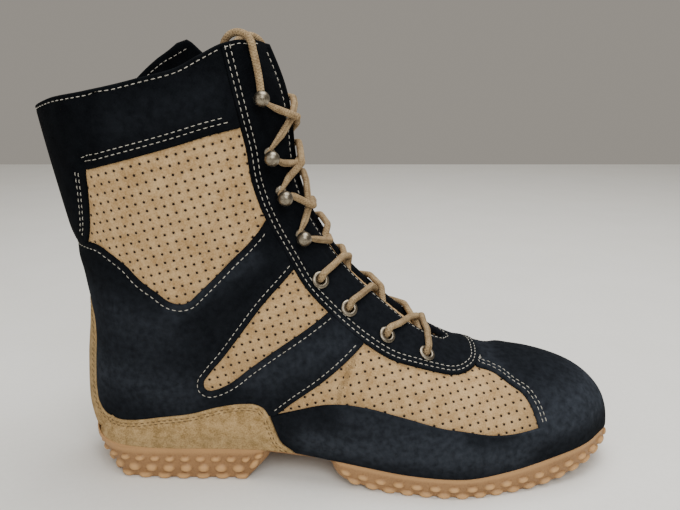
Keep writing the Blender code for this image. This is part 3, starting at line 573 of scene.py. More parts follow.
# Sections of the last from the toe round the heel and up the shaft: bottom x and z, top x and z, lateral and
# medial half width at the bottom, the greatest lateral and medial half width, the share of the height where
# that is, the fullness above it, and the sideways shift of the bottom and of the top
SECTIONS = np.array([
    (295.4, 18.3, 294.6, 26.5, 0.0, 0.0, 0.0, 0.0, 0.30, 2.3, 5.0, 5.0),
    (293.0, 18.2, 291.2, 35.0, 13.3, 13.2, 13.8, 13.7, 0.30, 2.3, 5.0, 5.0),
    (286.0, 17.8, 283.2, 43.3, 21.9, 22.8, 22.9, 24.3, 0.30, 2.3, 4.5, 4.5),
    (274.0, 16.8, 271.0, 49.8, 31.9, 30.5, 33.4, 32.5, 0.28, 2.3, 3.5, 4.0),
    (255.0, 14.4, 252.0, 55.3, 39.2, 37.5, 40.7, 39.5, 0.26, 2.3, 2.0, 3.5),
    (230.0, 10.6, 227.0, 58.8, 45.8, 42.2, 47.3, 43.7, 0.24, 2.2, 1.0, 3.0),
    (205.0, 9.0, 206.0, 64.3, 49.4, 41.7, 50.9, 43.2, 0.22, 2.1, 0.0, 3.0),
    (180.0, 9.5, 185.0, 76.3, 46.7, 36.2, 48.7, 40.2, 0.22, 2.0, 0.0, 3.0),
    (155.0, 11.5, 163.0, 94.9, 41.2, 29.7, 44.7, 36.7, 0.25, 2.0, 0.0, 3.0),
    (130.0, 14.0, 146.0, 112.0, 35.7, 27.2, 40.7, 35.2, 0.30, 2.0, 0.0, 2.5),
    (105.0, 16.0, 135.3, 127.8, 32.2, 27.7, 37.7, 34.7, 0.34, 2.0, 0.0, 2.0),
    (75.0, 16.7, 128.6, 140.5, 31.2, 29.7, 35.7, 34.7, 0.38, 2.1, 0.0, 1.0),
    (45.0, 16.7, 124.9, 150.0, 30.7, 30.2, 35.2, 35.2, 0.42, 2.2, 0.0, 0.5),
    (22.3, 16.7, 122.7, 158.0, 27.2, 27.2, 35.3, 35.3, 0.46, 2.2, 0.0, 0.0),
    (10.8, 16.7, 121.2, 164.0, 17.0, 17.0, 35.8, 35.8, 0.48, 2.2, 0.0, 0.0),
    (6.8, 16.7, 120.7, 168.0, 0.0, 0.0, 36.6, 36.6, 0.50, 2.2, 0.0, 0.0),
    (3.1, 35.0, 120.2, 172.5, 0.0, 0.0, 36.2, 36.2, 0.50, 2.2, 0.0, 0.0),
    (4.7, 60.0, 119.6, 178.0, 0.0, 0.0, 36.1, 36.1, 0.50, 2.2, 0.0, 0.0),
    (8.1, 90.0, 119.0, 185.0, 0.0, 0.0, 36.4, 36.4, 0.50, 2.2, 0.0, 0.0),
    (4.1, 120.0, 118.0, 194.0, 0.0, 0.0, 37.2, 37.2, 0.50, 2.2, 0.0, 0.0),
    (-1.5, 150.0, 116.0, 204.0, 0.0, 0.0, 38.2, 38.2, 0.50, 2.2, 0.0, 0.0),
    (-6.1, 175.0, 112.3, 215.0, 0.0, 0.0, 38.7, 38.7, 0.50, 2.2, 0.0, 0.0),
    (-9.4, 195.0, 106.2, 229.5, 0.0, 0.0, 38.7, 38.7, 0.50, 2.2, 0.0, 0.0),
    (-11.2, 209.0, 100.6, 242.5, 0.0, 0.0, 38.7, 38.7, 0.50, 2.2, 0.0, 0.0),
    (-13.0, 223.0, 95.2, 255.5, 0.0, 0.0, 38.7, 38.7, 0.50, 2.2, 0.0, 0.0),
])
# Half width of the throat by row
THROAT = np.array([
    (6.15, 0.0), (6.35, 7.0), (6.7, 10.5), (7.2, 12.0), (9.0, 10.5), (14.0, 11.5), (23.0, 13.0)])
# How many rows the collar's edge dips by, by place across the form
COLLAR_DIP = np.array([
    (-1.0, 0.0), (-0.5, 0.0), (-0.2, 0.14), (0.0, 0.24), (0.2, 0.29), (0.4, 0.14), (0.6, 0.0), (0.7, 0.0),
    (0.8, 0.08), (0.9, 0.14), (1.0, 0.24)])
# Mesh rows of the sheets: from one row to another in so many steps
ROW_STEPS = (
    (0.0, 1.2, 16), (1.2, 6.15, 56), (6.15, 7.2, 16), (7.2, 13.0, 104), (13.0, 15.0, 28), (15.0, 22.0, 104))
LOW_STEPS, HIGH_STEPS = 36, 52


class Mark(NamedTuple):
    """A soft mark along a line of the side view, on one side or both: how wide and how strong it is."""

    x0: float
    z0: float
    x1: float
    z1: float
    width: float
    amount: float
    sides: tuple[int, ...] = (-1, 1)

    def spread(self, points: Array) -> Array:
        """The mark's strength at points: a bell across its line."""
        line = np.array([(self.x0, self.z0), (self.x1, self.z1)])
        gap = nearest_on(points[:, [0, 2]], line).distance
        return self.amount * np.exp(-((gap / self.width) ** 2))


# Creases in the leather by their depth, and ridges where that is under 0
CREASES = (
    Mark(4, 126, 34, 116, 5.0, 0.9),
    Mark(12, 112, 46, 103, 6.0, 0.5),
    Mark(20, 168, 31, 206, 2.2, 1.4, (-1,)),
    Mark(24.5, 167, 35, 205, 2.6, -0.8, (-1,)),
    Mark(30, 150, 88, 146, 7.0, 0.5),
    Mark(36, 135, 84, 128, 6.0, -0.4),
    Mark(226, 66, 232, 36, 5.0, 0.7),
    Mark(236, 62, 240, 40, 4.0, -0.4),
    Mark(213, 52, 206, 38, 5.0, 0.5),
    Mark(150, 58, 190, 46, 6.0, 0.4),
    Mark(90, 92, 60, 70, 9.0, 0.5),
)


# The sheet's column with the sign of the side
SIDE_COLUMN = 6


@dataclass
class Sheet:
    """A triangulated sheet over the last: one row of values for each point.

    The columns are the point, its normal, on the last the sign of its side, and whatever has been added.
    """

    data: Array
    triangles: Array

    @property
    def points(self) -> Array:
        """The points."""
        return self.data[:, :3]

    @property
    def normals(self) -> Array:
        """The outward normals."""
        return unit(self.data[:, 3:6])

    @property
    def edges(self) -> Array:
        """The three edges of each triangle, in its direction."""
        return self.triangles[:, [0, 1, 1, 2, 2, 0]].reshape(-1, 2)

    def between(self, edges: Array, values: Array) -> Array:
        """The rows of values where edges pass the zero of further values, linear between their ends."""
        start, end = edges.T
        t = values[start] / (values[start] - values[end])
        return self.data[start] + t[:, None] * (self.data[end] - self.data[start])

    def with_columns(self, *columns: Array) -> "Sheet":
        """The sheet with further columns."""
        return Sheet(np.column_stack([self.data, *columns]), self.triangles)

    def tidied(self, triangles: Array) -> "Sheet":
        """The sheet with some triangles alone, and only the points that they use."""
        used = np.unique(triangles)
        number = np.full(len(self.data), -1)
        number[used] = np.arange(len(used))
        return Sheet(self.data[used], number[triangles])

    def within(self, low: Array, high: Array) -> "Sheet":
        """The triangles that touch a box of the side view."""
        side = self.points[:, [0, 2]]
        touched = ((side > low) & (side < high)).all(axis=1)
        return self.tidied(self.triangles[touched[self.triangles].any(axis=1)])

    def cut(self, column: int, level: float, keep_all: bool = True) -> "Sheet":
        """Cuts the triangles along the line where a column equals a level.

        A triangle with one corner on one side is cut in three, with new points where its edges cross the
        level, linear between their ends.

        Args:
            column: the column's number.
            level: the level.
            keep_all: whether the part below the level stays.

        Returns:
            The cut sheet.
        """
        values = self.data[:, column] - level
        above = values >= 0
        count = above[self.triangles].sum(axis=1)
        split = (count == 1) | (count == 2)
        torn = self.triangles[split]
        lone = np.where((count[split] == 1)[:, None], above[torn], ~above[torn]).argmax(axis=1)
        a, b, c = torn[np.arange(len(torn))[:, None], (lone[:, None] + np.arange(3)) % 3].T
        edges = np.sort(np.concatenate([np.stack([a, b], 1), np.stack([a, c], 1)]), axis=1)
        edges, place = np.unique(edges, axis=0, return_inverse=True)
        fresh = self.between(edges, values)
        fresh[:, column] = level
        ab, ac = place.reshape(2, -1) + len(self.data)
        tips = np.stack([a, ab, ac], 1)
        feet = np.concatenate([np.stack([ab, b, c], 1), np.stack([ab, c, ac], 1)])
        parts = [self.triangles[count == 3], tips[above[a]], feet[np.tile(~above[a], 2)]]
        if keep_all:
            parts += [self.triangles[count == 0], tips[~above[a]], feet[np.tile(above[a], 2)]]
        return Sheet(np.concatenate([self.data, fresh]), self.triangles).tidied(np.concatenate(parts))

    def crossings(self, column: int, level: float) -> Array:
        """The rows of values where the triangles' edges cross a level of a column, in no order."""
        values = self.data[:, column] - level
        edges = np.sort(self.edges, axis=1)
        above = values[edges] >= 0
        return self.between(np.unique(edges[above[:, 0] != above[:, 1]], axis=0), values)

    def walls(self, outer: Array, inner: Array) -> tuple[Array, Array]:
        """A closed wall between two lifts of the sheet: both faces, and the rim round its open edges.

        Args:
            outer: lift of the outer face at each point.
            inner: lift of the inner face.

        Returns:
            Points and triangles: outer face, inner face, rim.
        """
        count = len(self.data)
        code, back = self.edges @ [count, 1], self.edges @ [1, count]
        start, end = self.edges[~np.isin(code, back)].T
        below = start + count
        rim = np.concatenate([np.stack([end, start, below], 1), np.stack([end, below, end + count], 1)])
        faces = np.concatenate([self.triangles, self.triangles[:, ::-1] + count, rim])
        normals = self.normals
        return np.concatenate([self.points + lift[:, None] * normals for lift in (outer, inner)]), faces


def face_normals(points: Array, triangles: Array) -> Array:
    """Normals of triangles, each as long as twice its area."""
    corners = points[triangles]
    return np.cross(corners[:, 1] - corners[:, 0], corners[:, 2] - corners[:, 0])


def mesh_normals(points: Array, triangles: Array) -> Array:
    """Outward normals of points: the mean of the faces round each, by area."""
    face = face_normals(points, triangles)
    normals = np.zeros_like(points)
    for corner in range(3):
        np.add.at(normals, triangles[:, corner], face)
    return unit(normals)


@dataclass(frozen=True)
class Last:
    """The form that the upper is drawn over, and the places on it."""

    belly: float = 2.4
    heel_row: int = 15
    collar_row: float = 22.0
    throat_row: float = 6.15
    throat_bend: float = 7.2
    dip_row: float = 19.0

    def high_end(self, row: Array, half: Array) -> Array:
        """Angle of the throat's edge on the upper arc of a section."""
        return np.arccos(np.clip(np.interp(row, THROAT[:, 0], THROAT[:, 1]) / half, 0, 1))

    def point(self, row: Any, across: Any, side: Any, throat_open: bool = True) -> Array:
        """Points of the form: each half of a section is a superellipse arc, lower and upper.

        Args:
            row: rows of the section table, fractions allowed.
            across: -1 at the feather or back line, 0 at the widest line, 1 at the throat's edge or the ridge.
            side: -1 lateral, 1 medial.
            throat_open: whether the arc stops at the throat's edge.

        Returns:
            The points.
        """
        row, across, side = np.broadcast_arrays(*(np.asarray(v, float) for v in (row, across, side)))
        if throat_open:
            stop = np.interp(across, COLLAR_DIP[:, 0], np.arange(len(COLLAR_DIP)))
            dip = read_table(COLLAR_DIP[:, 1:], stop)
            row = row - dip[..., 0] * np.clip((row - self.dip_row) / (self.collar_row - self.dip_row), 0, 1)
        values = np.moveaxis(read_table(SECTIONS, row), -1, 0)
        low_x, low_z, top_x, top_z, foot_lat, foot_med, half_lat, half_med, widest, crown, mid, ridge = values
        half = np.maximum(np.where(side < 0, half_lat, half_med), 1e-6)
        foot = np.where(side < 0, foot_lat, foot_med)
        low_end = np.arccos(np.clip(foot / half, 0, 1))
        high_end = self.high_end(row, half) if throat_open else np.full_like(half, math.pi / 2)
        low, high = low_end * np.clip(-across, 0, 1), high_end * np.clip(across, 0, 1)
        drop = (np.sin(low) / np.maximum(np.sin(low_end), 1e-6)) ** (2 / self.belly)
        rise = np.sin(high) ** (2 / crown)
        height = np.where(across < 0, widest * (1 - drop), widest + (1 - widest) * rise)
        reach = np.where(across < 0, np.cos(low), np.cos(high))
        x, z = low_x + height * (top_x - low_x), low_z + height * (top_z - low_z)
        return np.stack([x, mid + height * (ridge - mid) + side * half * reach, z], axis=-1)

    def seat(
        self, row: Any, across: Any, side: Any, lift: Any, throat_open: bool = True
    ) -> tuple[Array, Array]:
        """Points a lift above the form, and the outward normals there.

        Args:
            row: as for point.
            across: as for point.
            side: as for point.
            lift: millimetres above the form.
            throat_open: as for point.

        Returns:
            Points and normals.
        """
        step = 1e-3
        here = self.point(row, across, side, throat_open)
        along = self.point(np.asarray(row) + step, across, side, throat_open) - here
        up = here - self.point(row, np.asarray(across) - step, side, throat_open)
        normal = unit(-np.asarray(side, float)[..., None] * np.cross(up, along))
        return here + np.asarray(lift, float)[..., None] * normal, normal

    def inward(self, row: Any, across: Any, side: Any, normal: Array, step: float = 0.05) -> Array:
        """The way over the form to the throat, or from it where the step is under 0, square to a normal."""
        way = self.point(row, across + step, side) - self.point(row, across, side)
        return unit(way - (way * normal).sum(axis=-1, keepdims=True) * normal)

    def closed_across(self, row: float, across: float, side: int) -> float:
        """A place across the form, counted on the form without its throat."""
        values = read_table(SECTIONS, np.asarray(row))
        return float(across * self.high_end(row, values[6] if side < 0 else values[7]) / (math.pi / 2))

    def sheet(self, every: int = 1) -> Sheet:
        """The form as one open sheet of triangles, creased, with the sides joined at toe, back and ridge.

        Args:
            every: how many mesh rows and columns one step takes.

        Returns:
            The sheet, whose further column is the side.
        """
        rows = np.concatenate([[0.0], *(np.linspace(a, b, n // every + 1)[1:] for a, b, n in ROW_STEPS)])
        low, high = LOW_STEPS // every, HIGH_STEPS // every
        across = np.concatenate([np.linspace(-1, 0, low + 1), np.linspace(0, 1, high + 1)[1:]])
        sides = np.array([-1.0, 1.0])
        points = self.point(rows[None, :, None], across[None, None, :], sides[:, None, None])
        left, right = np.arange(points[..., 0].size).reshape(points.shape[:3])
        right[0] = left[0]
        right[rows >= self.heel_row, 0] = left[rows >= self.heel_row, 0]
        right[rows <= self.throat_row, -1] = left[rows <= self.throat_row, -1]
        quads = np.concatenate([grid_quads(left), grid_quads(right[:, ::-1])])
        points = points.reshape(-1, 3)
        across_quad = np.linalg.norm(points[quads[:, 2:]] - points[quads[:, :2]], axis=2)
        shorter = across_quad[:, 1] < across_quad[:, 0]
        triangles = halved(np.where(shorter[:, None], np.roll(quads, -1, axis=1), quads))
        triangles = triangles[np.linalg.norm(face_normals(points, triangles), axis=1) > 1e-6]
        side = np.repeat(sides, len(points) // 2)
        depth = sum(crease.spread(points) * np.isin(side, crease.sides) for crease in CREASES)
        points = points - depth[:, None] * mesh_normals(points, triangles)
        normals = mesh_normals(points, triangles)
        feather = np.zeros(len(points), bool)
        feather[left[rows <= self.heel_row, 0]] = feather[right[rows <= self.heel_row, 0]] = True
        normals[feather, 2] = 0.0
        return Sheet(np.column_stack([points, unit(normals), side]), triangles).tidied(triangles)

    def there_and_back(self, rows: Any, across: Any) -> "Seam":
        """Places along the lateral side, then the same ones back along the medial side."""
        rows, across = np.broadcast_arrays(rows, across)
        count = len(rows)
        order = np.append(np.arange(count), np.arange(count - 2, -1, -1))
        sides = np.repeat([-1.0, 1.0], [count, count - 1])
        return Seam(*self.seat(rows[order], across[order], sides, np.zeros(len(order))))

    def rim_line(self) -> "Seam":
        """The collar's edge, from the lateral throat round the back to the medial throat."""
        return self.there_and_back(self.collar_row, np.linspace(1, -1, 120))

    def throat_line(self) -> "Seam":
        """The throat's edge, from the lateral collar round its front end to the medial collar."""
        straight = np.linspace(self.collar_row, self.throat_bend, 150)
        front = np.linspace(self.throat_bend, self.throat_row, 60)[1:]
        return self.there_and_back(np.append(straight, front), 1.0)


# Leather panels and their seams

# Seam lines of the panels in the side view (x, z), the same on both sides
EYESTAY_TOP = ((84, 236), (87, 223), (94.5, 190), (97.5, 176), (99.6, 160), (103, 148), (106, 140))
EYESTAY_MIDDLE = ((106, 140), (117, 119), (125, 105.5), (137, 92.3), (155, 76.8))
EYESTAY_FRONT = (
    (155, 76.8), (171, 67), (182, 63), (193, 59.5), (203, 57), (210, 56.6), (216, 57.5), (221, 60.2))
CUFF_HEM = ((20, 167), (43, 173), (65, 179), (82, 184), (95, 187))
BACKSTAY_LOW = ((14.5, 128.5), (16, 132), (19.4, 152), (20, 167))
QUARTER_TOP = (
    (-20, 128.5), (5, 128.5), (14.5, 128.5), (21, 128), (28, 124), (36, 118), (43, 111), (51, 105), (58, 100),
    (62, 99), (67, 100), (71.5, 104), (80, 112), (89, 121), (97, 128.5), (103.5, 136), (106, 140))
STRAP_EDGE = ((155, 76.8), (144, 67), (132, 57), (120, 48), (109, 38.7))
GUARD_TOP = (
    (109, 38.7), (120, 42), (135, 46), (145, 46.7), (156, 45.6), (174, 41.5), (194, 36.5), (210.3, 33.9),
    (220.7, 31.9), (231, 31), (246.7, 32.5))
CAP_SEAM = (
    (246.7, 32.5), (245.4, 36.5), (243.2, 42.4), (240, 47), (232.5, 51.2), (224.3, 55.2), (216.5, 57.4))
COUNTER_FRONT = ((121, 8), (118.6, 15.3), (112, 21.5), (108.5, 31), (106, 38.4))
COUNTER_TOP = (
    (106, 38.4), (103, 43), (98, 45), (93, 45), (80, 43), (64, 38.5), (47, 36), (33, 33.6), (23, 32.7),
    (17, 33.6), (13, 39), (12.4, 46), (13.6, 64), (15, 78), (13.2, 89), (7, 97), (-20, 97))
WINDOW_EDGE = (
    (142, 95.5), (137, 92), (124, 83), (112, 75), (97, 64), (85, 54.6), (78, 51.4), (75, 50.8),
    (72, 52.4), (71.5, 56), (75, 61.6), (82, 70), (92.5, 84), (103.5, 98.5), (117, 113), (121, 117.5))


# Rubbed or dusty leather
SCUFFS = (
    Mark(246, 33, 290, 38, 9.0, 0.9),
    Mark(250, 46, 284, 44, 9.0, 0.3),
    Mark(128, 24, 235, 20, 8.0, 0.8),
    Mark(150, 40, 200, 30, 9.0, 0.5),
    Mark(225, 58, 238, 44, 6.0, 0.4),
    Mark(20, 60, 60, 50, 12.0, 0.5),
    Mark(30, 90, 50, 84, 14.0, 0.4),
    Mark(100, 60, 140, 78, 10.0, 0.5),
    Mark(60, 96, 100, 122, 5.0, 0.4),
    Mark(40, 190, 80, 200, 12.0, 0.2),
    Mark(30, 20, 100, 22, 5.0, 0.4),
    Mark(8, 45, 8, 100, 8.0, 0.6),
)


# A film of dust over all, and how much more lies low down between two heights; this rise is partly painted
# light, brightening the lower parts of the navy
DUST_FILM, LOW_DUST_AND_LIGHT, DUST_AND_LIGHT_HEIGHTS = 0.03, 0.2, (190, 50)


def dust_and_light_on(points: Array) -> Array:
    """How much dust colour each point takes: a film that thickens to the floor, partly painted light there,
    and a soft smear along each scuff.
    """
    film = DUST_FILM + LOW_DUST_AND_LIGHT * smoothstep(*DUST_AND_LIGHT_HEIGHTS, points[:, 2])
    return np.clip(film + sum(scuff.spread(points) for scuff in SCUFFS), 0.0, 1.0)


class Run(NamedTuple):
    """One stretch of a panel's outline, and how far inside it its stitch rows lie."""

    stops: Sequence[Sequence[float]]
    rows: tuple[float, ...] = ()
    smooth: bool = True

    @property
    def line(self) -> Array:
        """The run's points: a curve through its stops, or the stops themselves."""
        return curve_through(self.stops) if self.smooth else np.array(self.stops, float)


class Seam(NamedTuple):
    """A stitch row: points along it, and the leather's normals there."""

    points: Array
    normals: Array


class StitchRow(NamedTuple):
    """A stitch row on a sheet: the column where it keeps one value, and its stretch along the next one."""

    column: int
    offset: float
    start: float
    end: float


class Lines(NamedTuple):
    """The boot's own edges and punched holes, which panels end at."""

    rim: Seam
    throat: Seam
    holes: Seam


@dataclass(frozen=True)
class Outline:
    """A closed line of runs in the side view."""

    runs: tuple[Run, ...]
    # The least that the leather's slope may shorten a distance to
    shortest: float = 0.35

    def trace(self) -> tuple[Array, Array]:
        """The closed polyline, and where along it each run starts and ends."""
        pieces = [run.line for run in self.runs]
        line = np.concatenate([*pieces, pieces[0][:1]])
        ends = np.cumsum([len(piece) for piece in pieces])
        length = arc_lengths(line)
        return line, np.stack([length[np.append(0, ends[:-1])], length[ends - 1]], axis=1)

    def gaps(self, sheet: Sheet, line: Array) -> tuple[Array, Array]:
        """How far inside the outline each point lies along the leather, and where along the outline.

        The distance in the side view is divided by how much the leather's slope foreshortens it.

        Args:
            sheet: the sheet.
            line: the traced outline.

        Returns:
            Distances, under 0 outside, and lengths along the outline.
        """
        flat = sheet.points[:, [0, 2]]
        near = nearest_on(flat, line)
        lean = (sheet.normals[:, [0, 2]] * unit(near.offset)).sum(axis=1)
        gap = near.distance / np.maximum(np.sqrt(np.clip(1 - lean**2, 0, 1)), self.shortest)
        return np.where(inside(flat, line), gap, -gap), near.along


@dataclass(frozen=True)
class Panel:
    """Leather sewn on the upper: rounded cut edges, a soft pillow between them, and sunk stitch rows.

    By the collar and the throat it comes level with the fold. Lap is how much higher it lies over the cap.
    """

    name: str
    replaces: tuple[str, ...]
    slot: str
    finish: Finishes
    outline: Outline
    window: Outline | None = None
    thread: Finishes = Finishes.CREAM
    top: float = 1.5
    foot: float = 0.15
    bottom: float = 0.05
    edge: float = 1.0
    pillow: float = 0.3
    pillow_reach: float = 9.0
    groove: float = 0.3
    groove_reach: float = 0.7
    seam_gap: float = 0.1
    lap: float = 0.0
    lap_span: tuple[float, float] = (208.0, 214.0)
    # Along collar and throat: the stitch row's distance and rest at its ends, the fold's height and reach
    borders: bool = False
    border_row: float = 1.2
    border_rest: float = 3.0
    border_top: float = 2.0
    border_reach: float = 1.5
    # The dip round an eyelet
    punched: bool = False
    dip: float = 0.6
    dip_reach: float = 2.2
    # Mesh lines along the cut edges and beside each stitch row
    edge_cuts: tuple[float, ...] = (0.12, 0.4, 0.9)
    row_cuts: tuple[float, ...] = (-0.6, 0.0, 0.6)
    # How far stitch rows keep off run ends and cut edges, the gap that breaks one, and its fewest points
    row_rest: float = 0.8
    row_clear: float = 1.0
    row_break: float = 5.0
    row_points: int = 7

    @property
    def shapes(self) -> list[Outline]:
        """The outline, and the window's where there is one."""
        return [shape for shape in (self.outline, self.window) if shape]

    @property
    def gap_columns(self) -> range:
        """The sheet's columns of distances inside each outline; after each comes the length along it."""
        return range(SIDE_COLUMN + 1, SIDE_COLUMN + 1 + 2 * len(self.shapes), 2)

    def build(self, base: Sheet, lines: Lines) -> list[Seam]:
        """Cuts the panel from the last's sheet, thickens it and makes it a piece.

        Args:
            base: the last's sheet.
            lines: the boot's own edges and holes.

        Returns:
            The panel's stitch rows.
        """
        traces = [shape.trace() for shape in self.shapes]
        corners = traces[0][0]
        sheet = base.within(corners.min(axis=0) - 4, corners.max(axis=0) + 4)
        rows = []
        for column, shape, (line, spans) in zip(self.gap_columns, self.shapes, traces):
            gap, along = shape.gaps(sheet, line)
            sheet = sheet.with_columns(gap if shape is self.outline else -gap, along)
            for run, span in zip(shape.runs, spans):
                rows += [StitchRow(column, offset, *span) for offset in run.rows]
        for column in self.gap_columns:
            sheet = sheet.cut(column, self.seam_gap, keep_all=False)
        hole = sheet.data.shape[1]
        if self.punched:
            sheet = punch(sheet, lines.holes)
        for seam in (lines.rim, lines.throat) if self.borders else ():
            end = arc_lengths(seam.points)[-1] - self.border_rest
            rows.append(StitchRow(sheet.data.shape[1], self.border_row, self.border_rest, end))
            near = nearest_on(sheet.points, seam.points)
            sheet = sheet.with_columns(near.distance, near.along)
        cuts = [(column, self.seam_gap + level) for column in self.gap_columns for level in self.edge_cuts]
        for column, level in cuts + [(row.column, row.offset + cut) for row in rows for cut in self.row_cuts]:
            sheet = sheet.cut(column, level)
        lift = self.lifts(sheet.data, rows)
        if self.punched:
            lift = lift - self.dip * np.exp(-(((sheet.data[:, hole] - Eyelets.punch) / self.dip_reach) ** 2))
        points, faces = sheet.walls(lift, np.full(len(lift), self.bottom))
        make_piece(self.name, points, faces, [self.finish], self.replaces,
                   attributes={"dust_and_light": dust_and_light_on(points)}, sharp_degrees=60)
        return [seam for row in rows for seam in self.stitched(sheet, row, rows)]

    def lifts(self, data: Array, rows: list[StitchRow]) -> Array:
        """Heights over the last: a quarter circle at cut edges, a slow pillow, less a dip at stitch rows.

        Args:
            data: rows of a sheet's values.
            rows: the stitch rows.

        Returns:
            The lift of each row of values.
        """
        gap = data[:, self.gap_columns].min(axis=1) - self.seam_gap
        beside = np.full(len(data), self.pillow_reach)
        for row in rows:
            along = data[:, row.column + 1]
            there = (along > row.start) & (along < row.end)
            beside = np.where(there, np.minimum(beside, np.abs(data[:, row.column] - row.offset)), beside)
        near = np.clip(gap / self.edge, 0, 1)
        lift = self.foot + (self.top - self.foot) * np.sqrt(1 - (1 - near) ** 2)
        lift = lift + self.pillow * smoothstep(0, self.pillow_reach, gap)
        lift = lift - self.groove * np.exp(-((beside / self.groove_reach) ** 2))
        if self.borders:
            near = np.exp(-((data[:, [-4, -2]].min(axis=1) / self.border_reach) ** 2))
            lift = lift + near * smoothstep(0, self.edge, gap) * (self.border_top - lift)
        return lift + self.lap * smoothstep(*self.lap_span, data[:, 0])

    def stitched(self, sheet: Sheet, row: StitchRow, rows: list[StitchRow]) -> list[Seam]:
        """The paths of one stitch row, on each side, broken where the leather is.

        Args:
            sheet: the panel's sheet.
            row: the row.
            rows: all the panel's rows.

        Returns:
            The paths.
        """
        found = sheet.crossings(row.column, row.offset + 1e-4)
        along = found[:, row.column + 1]
        clear = found[:, self.gap_columns].min(axis=1) > self.seam_gap + self.row_clear
        found = found[clear & (along > row.start + self.row_rest) & (along < row.end - self.row_rest)]
        sides = [found[found[:, SIDE_COLUMN] * side.value > 0] for side in Side]
        seams = []
        for line in sides if row.column in self.gap_columns else [found]:
            line = line[np.argsort(line[:, row.column + 1], kind="stable")]
            breaks = np.linalg.norm(np.diff(line[:, :3], axis=0), axis=1) > self.row_break
            for piece in np.split(line, np.flatnonzero(breaks) + 1):
                if len(piece) >= self.row_points:
                    normals = unit(piece[:, 3:6])
                    seams.append(Seam(piece[:, :3] + self.lifts(piece, rows)[:, None] * normals, normals))
        return seams


def punch(sheet: Sheet, holes: Seam) -> Sheet:
    """The sheet with the eyelets' holes cut out, and a further column of distances from their axes.

    Args:
        sheet: the sheet.
        holes: middles and axes of the holes.

    Returns:
        The punched sheet.
    """
    far, depth = 50.0, 12.0
    gap = np.full(len(sheet.data), far)
    for centre, axis in zip(holes.points, holes.normals):
        way = sheet.points - centre
        height = way @ axis
        across = np.linalg.norm(way - height[:, None] * axis, axis=1)
        gap = np.where(np.abs(height) < depth, np.minimum(gap, across), gap)
    return sheet.with_columns(gap).cut(sheet.data.shape[1], Eyelets.punch, keep_all=False)


@dataclass(frozen=True)
class Stitching:
    """Lockstitch rows: each stitch a short bowed capsule that dips into the leather at both ends."""

    pitch: float = 3.15
    length: float = 2.2
    radius: float = 0.23
    bow: float = 0.2
    # Each stitch's rings: place along half its length, and thickness; and the points of a ring
    rings: tuple[tuple[float, float], ...] = ((-1.0, 0.4), (-0.8, 0.85), (0.0, 1.0), (0.8, 0.85), (1.0, 0.4))
    sides: int = 6
    # Step by which a row's path is smoothed, and how far ahead and back its direction is read
    step: float = 1.5
    look: float = 0.6

    def build(self, name: str, seams: list[Seam], thread: Finishes) -> None:
        """Lays stitches along paths, their middles raised, and makes them one piece.

        Args:
            name: the piece's name.
            seams: the stitch rows.
            thread: the thread's finish.
        """
        stitches = [self.spots(seam) for seam in seams if arc_lengths(seam.points)[-1] > 2 * self.pitch]
        middle, ahead, up = (np.concatenate(column) for column in zip(*stitches))
        level = np.cross(ahead, up)
        along, thick = np.array(self.rings).T
        angle = 2 * math.pi * np.arange(self.sides) / self.sides
        spine = middle[:, None] + (self.length / 2 * along)[:, None] * ahead[:, None]
        spine = spine + (self.bow * (1 - 2.0 * along**2))[:, None] * up[:, None]
        ring = np.cos(angle)[:, None] * up[:, None] + np.sin(angle)[:, None] * -level[:, None]
        points = spine[:, :, None] + (self.radius * thick)[:, None, None] * ring[:, None]
        first = len(along) * self.sides * np.arange(len(middle))
        faces = ring_quads(len(along), self.sides) + first[:, None, None]
        make_piece(name, points.reshape(-1, 3), faces.reshape(-1, 4), [thread])

    def spots(self, seam: Seam) -> tuple[Array, Array, Array]:
        """Middle, direction and normal of each stitch of a row, a pitch apart."""
        line = np.column_stack([seam.points, seam.normals])
        length = arc_lengths(seam.points)[-1]
        smooth = resample(line, np.linspace(0, length, max(int(length / self.step), 4)))
        length = arc_lengths(smooth[:, :3])[-1]
        count = int(length / self.pitch)
        places = (np.arange(count) + 0.5) * length / count
        spot = resample(smooth, places)
        ahead = resample(smooth, places + self.look)[:, :3] - resample(smooth, places - self.look)[:, :3]
        ahead = unit(ahead)
        up = unit(spot[:, 3:] - (spot[:, 3:] * ahead).sum(axis=1, keepdims=True) * ahead)
        return spot[:, :3], ahead, up


# Sub-assemblies


@dataclass(frozen=True)
class Window:
    """Where a punched panel's lattice starts: a place in the side view, and how its rows rise to the toe."""

    x: float
    z: float
    rise_degrees: float


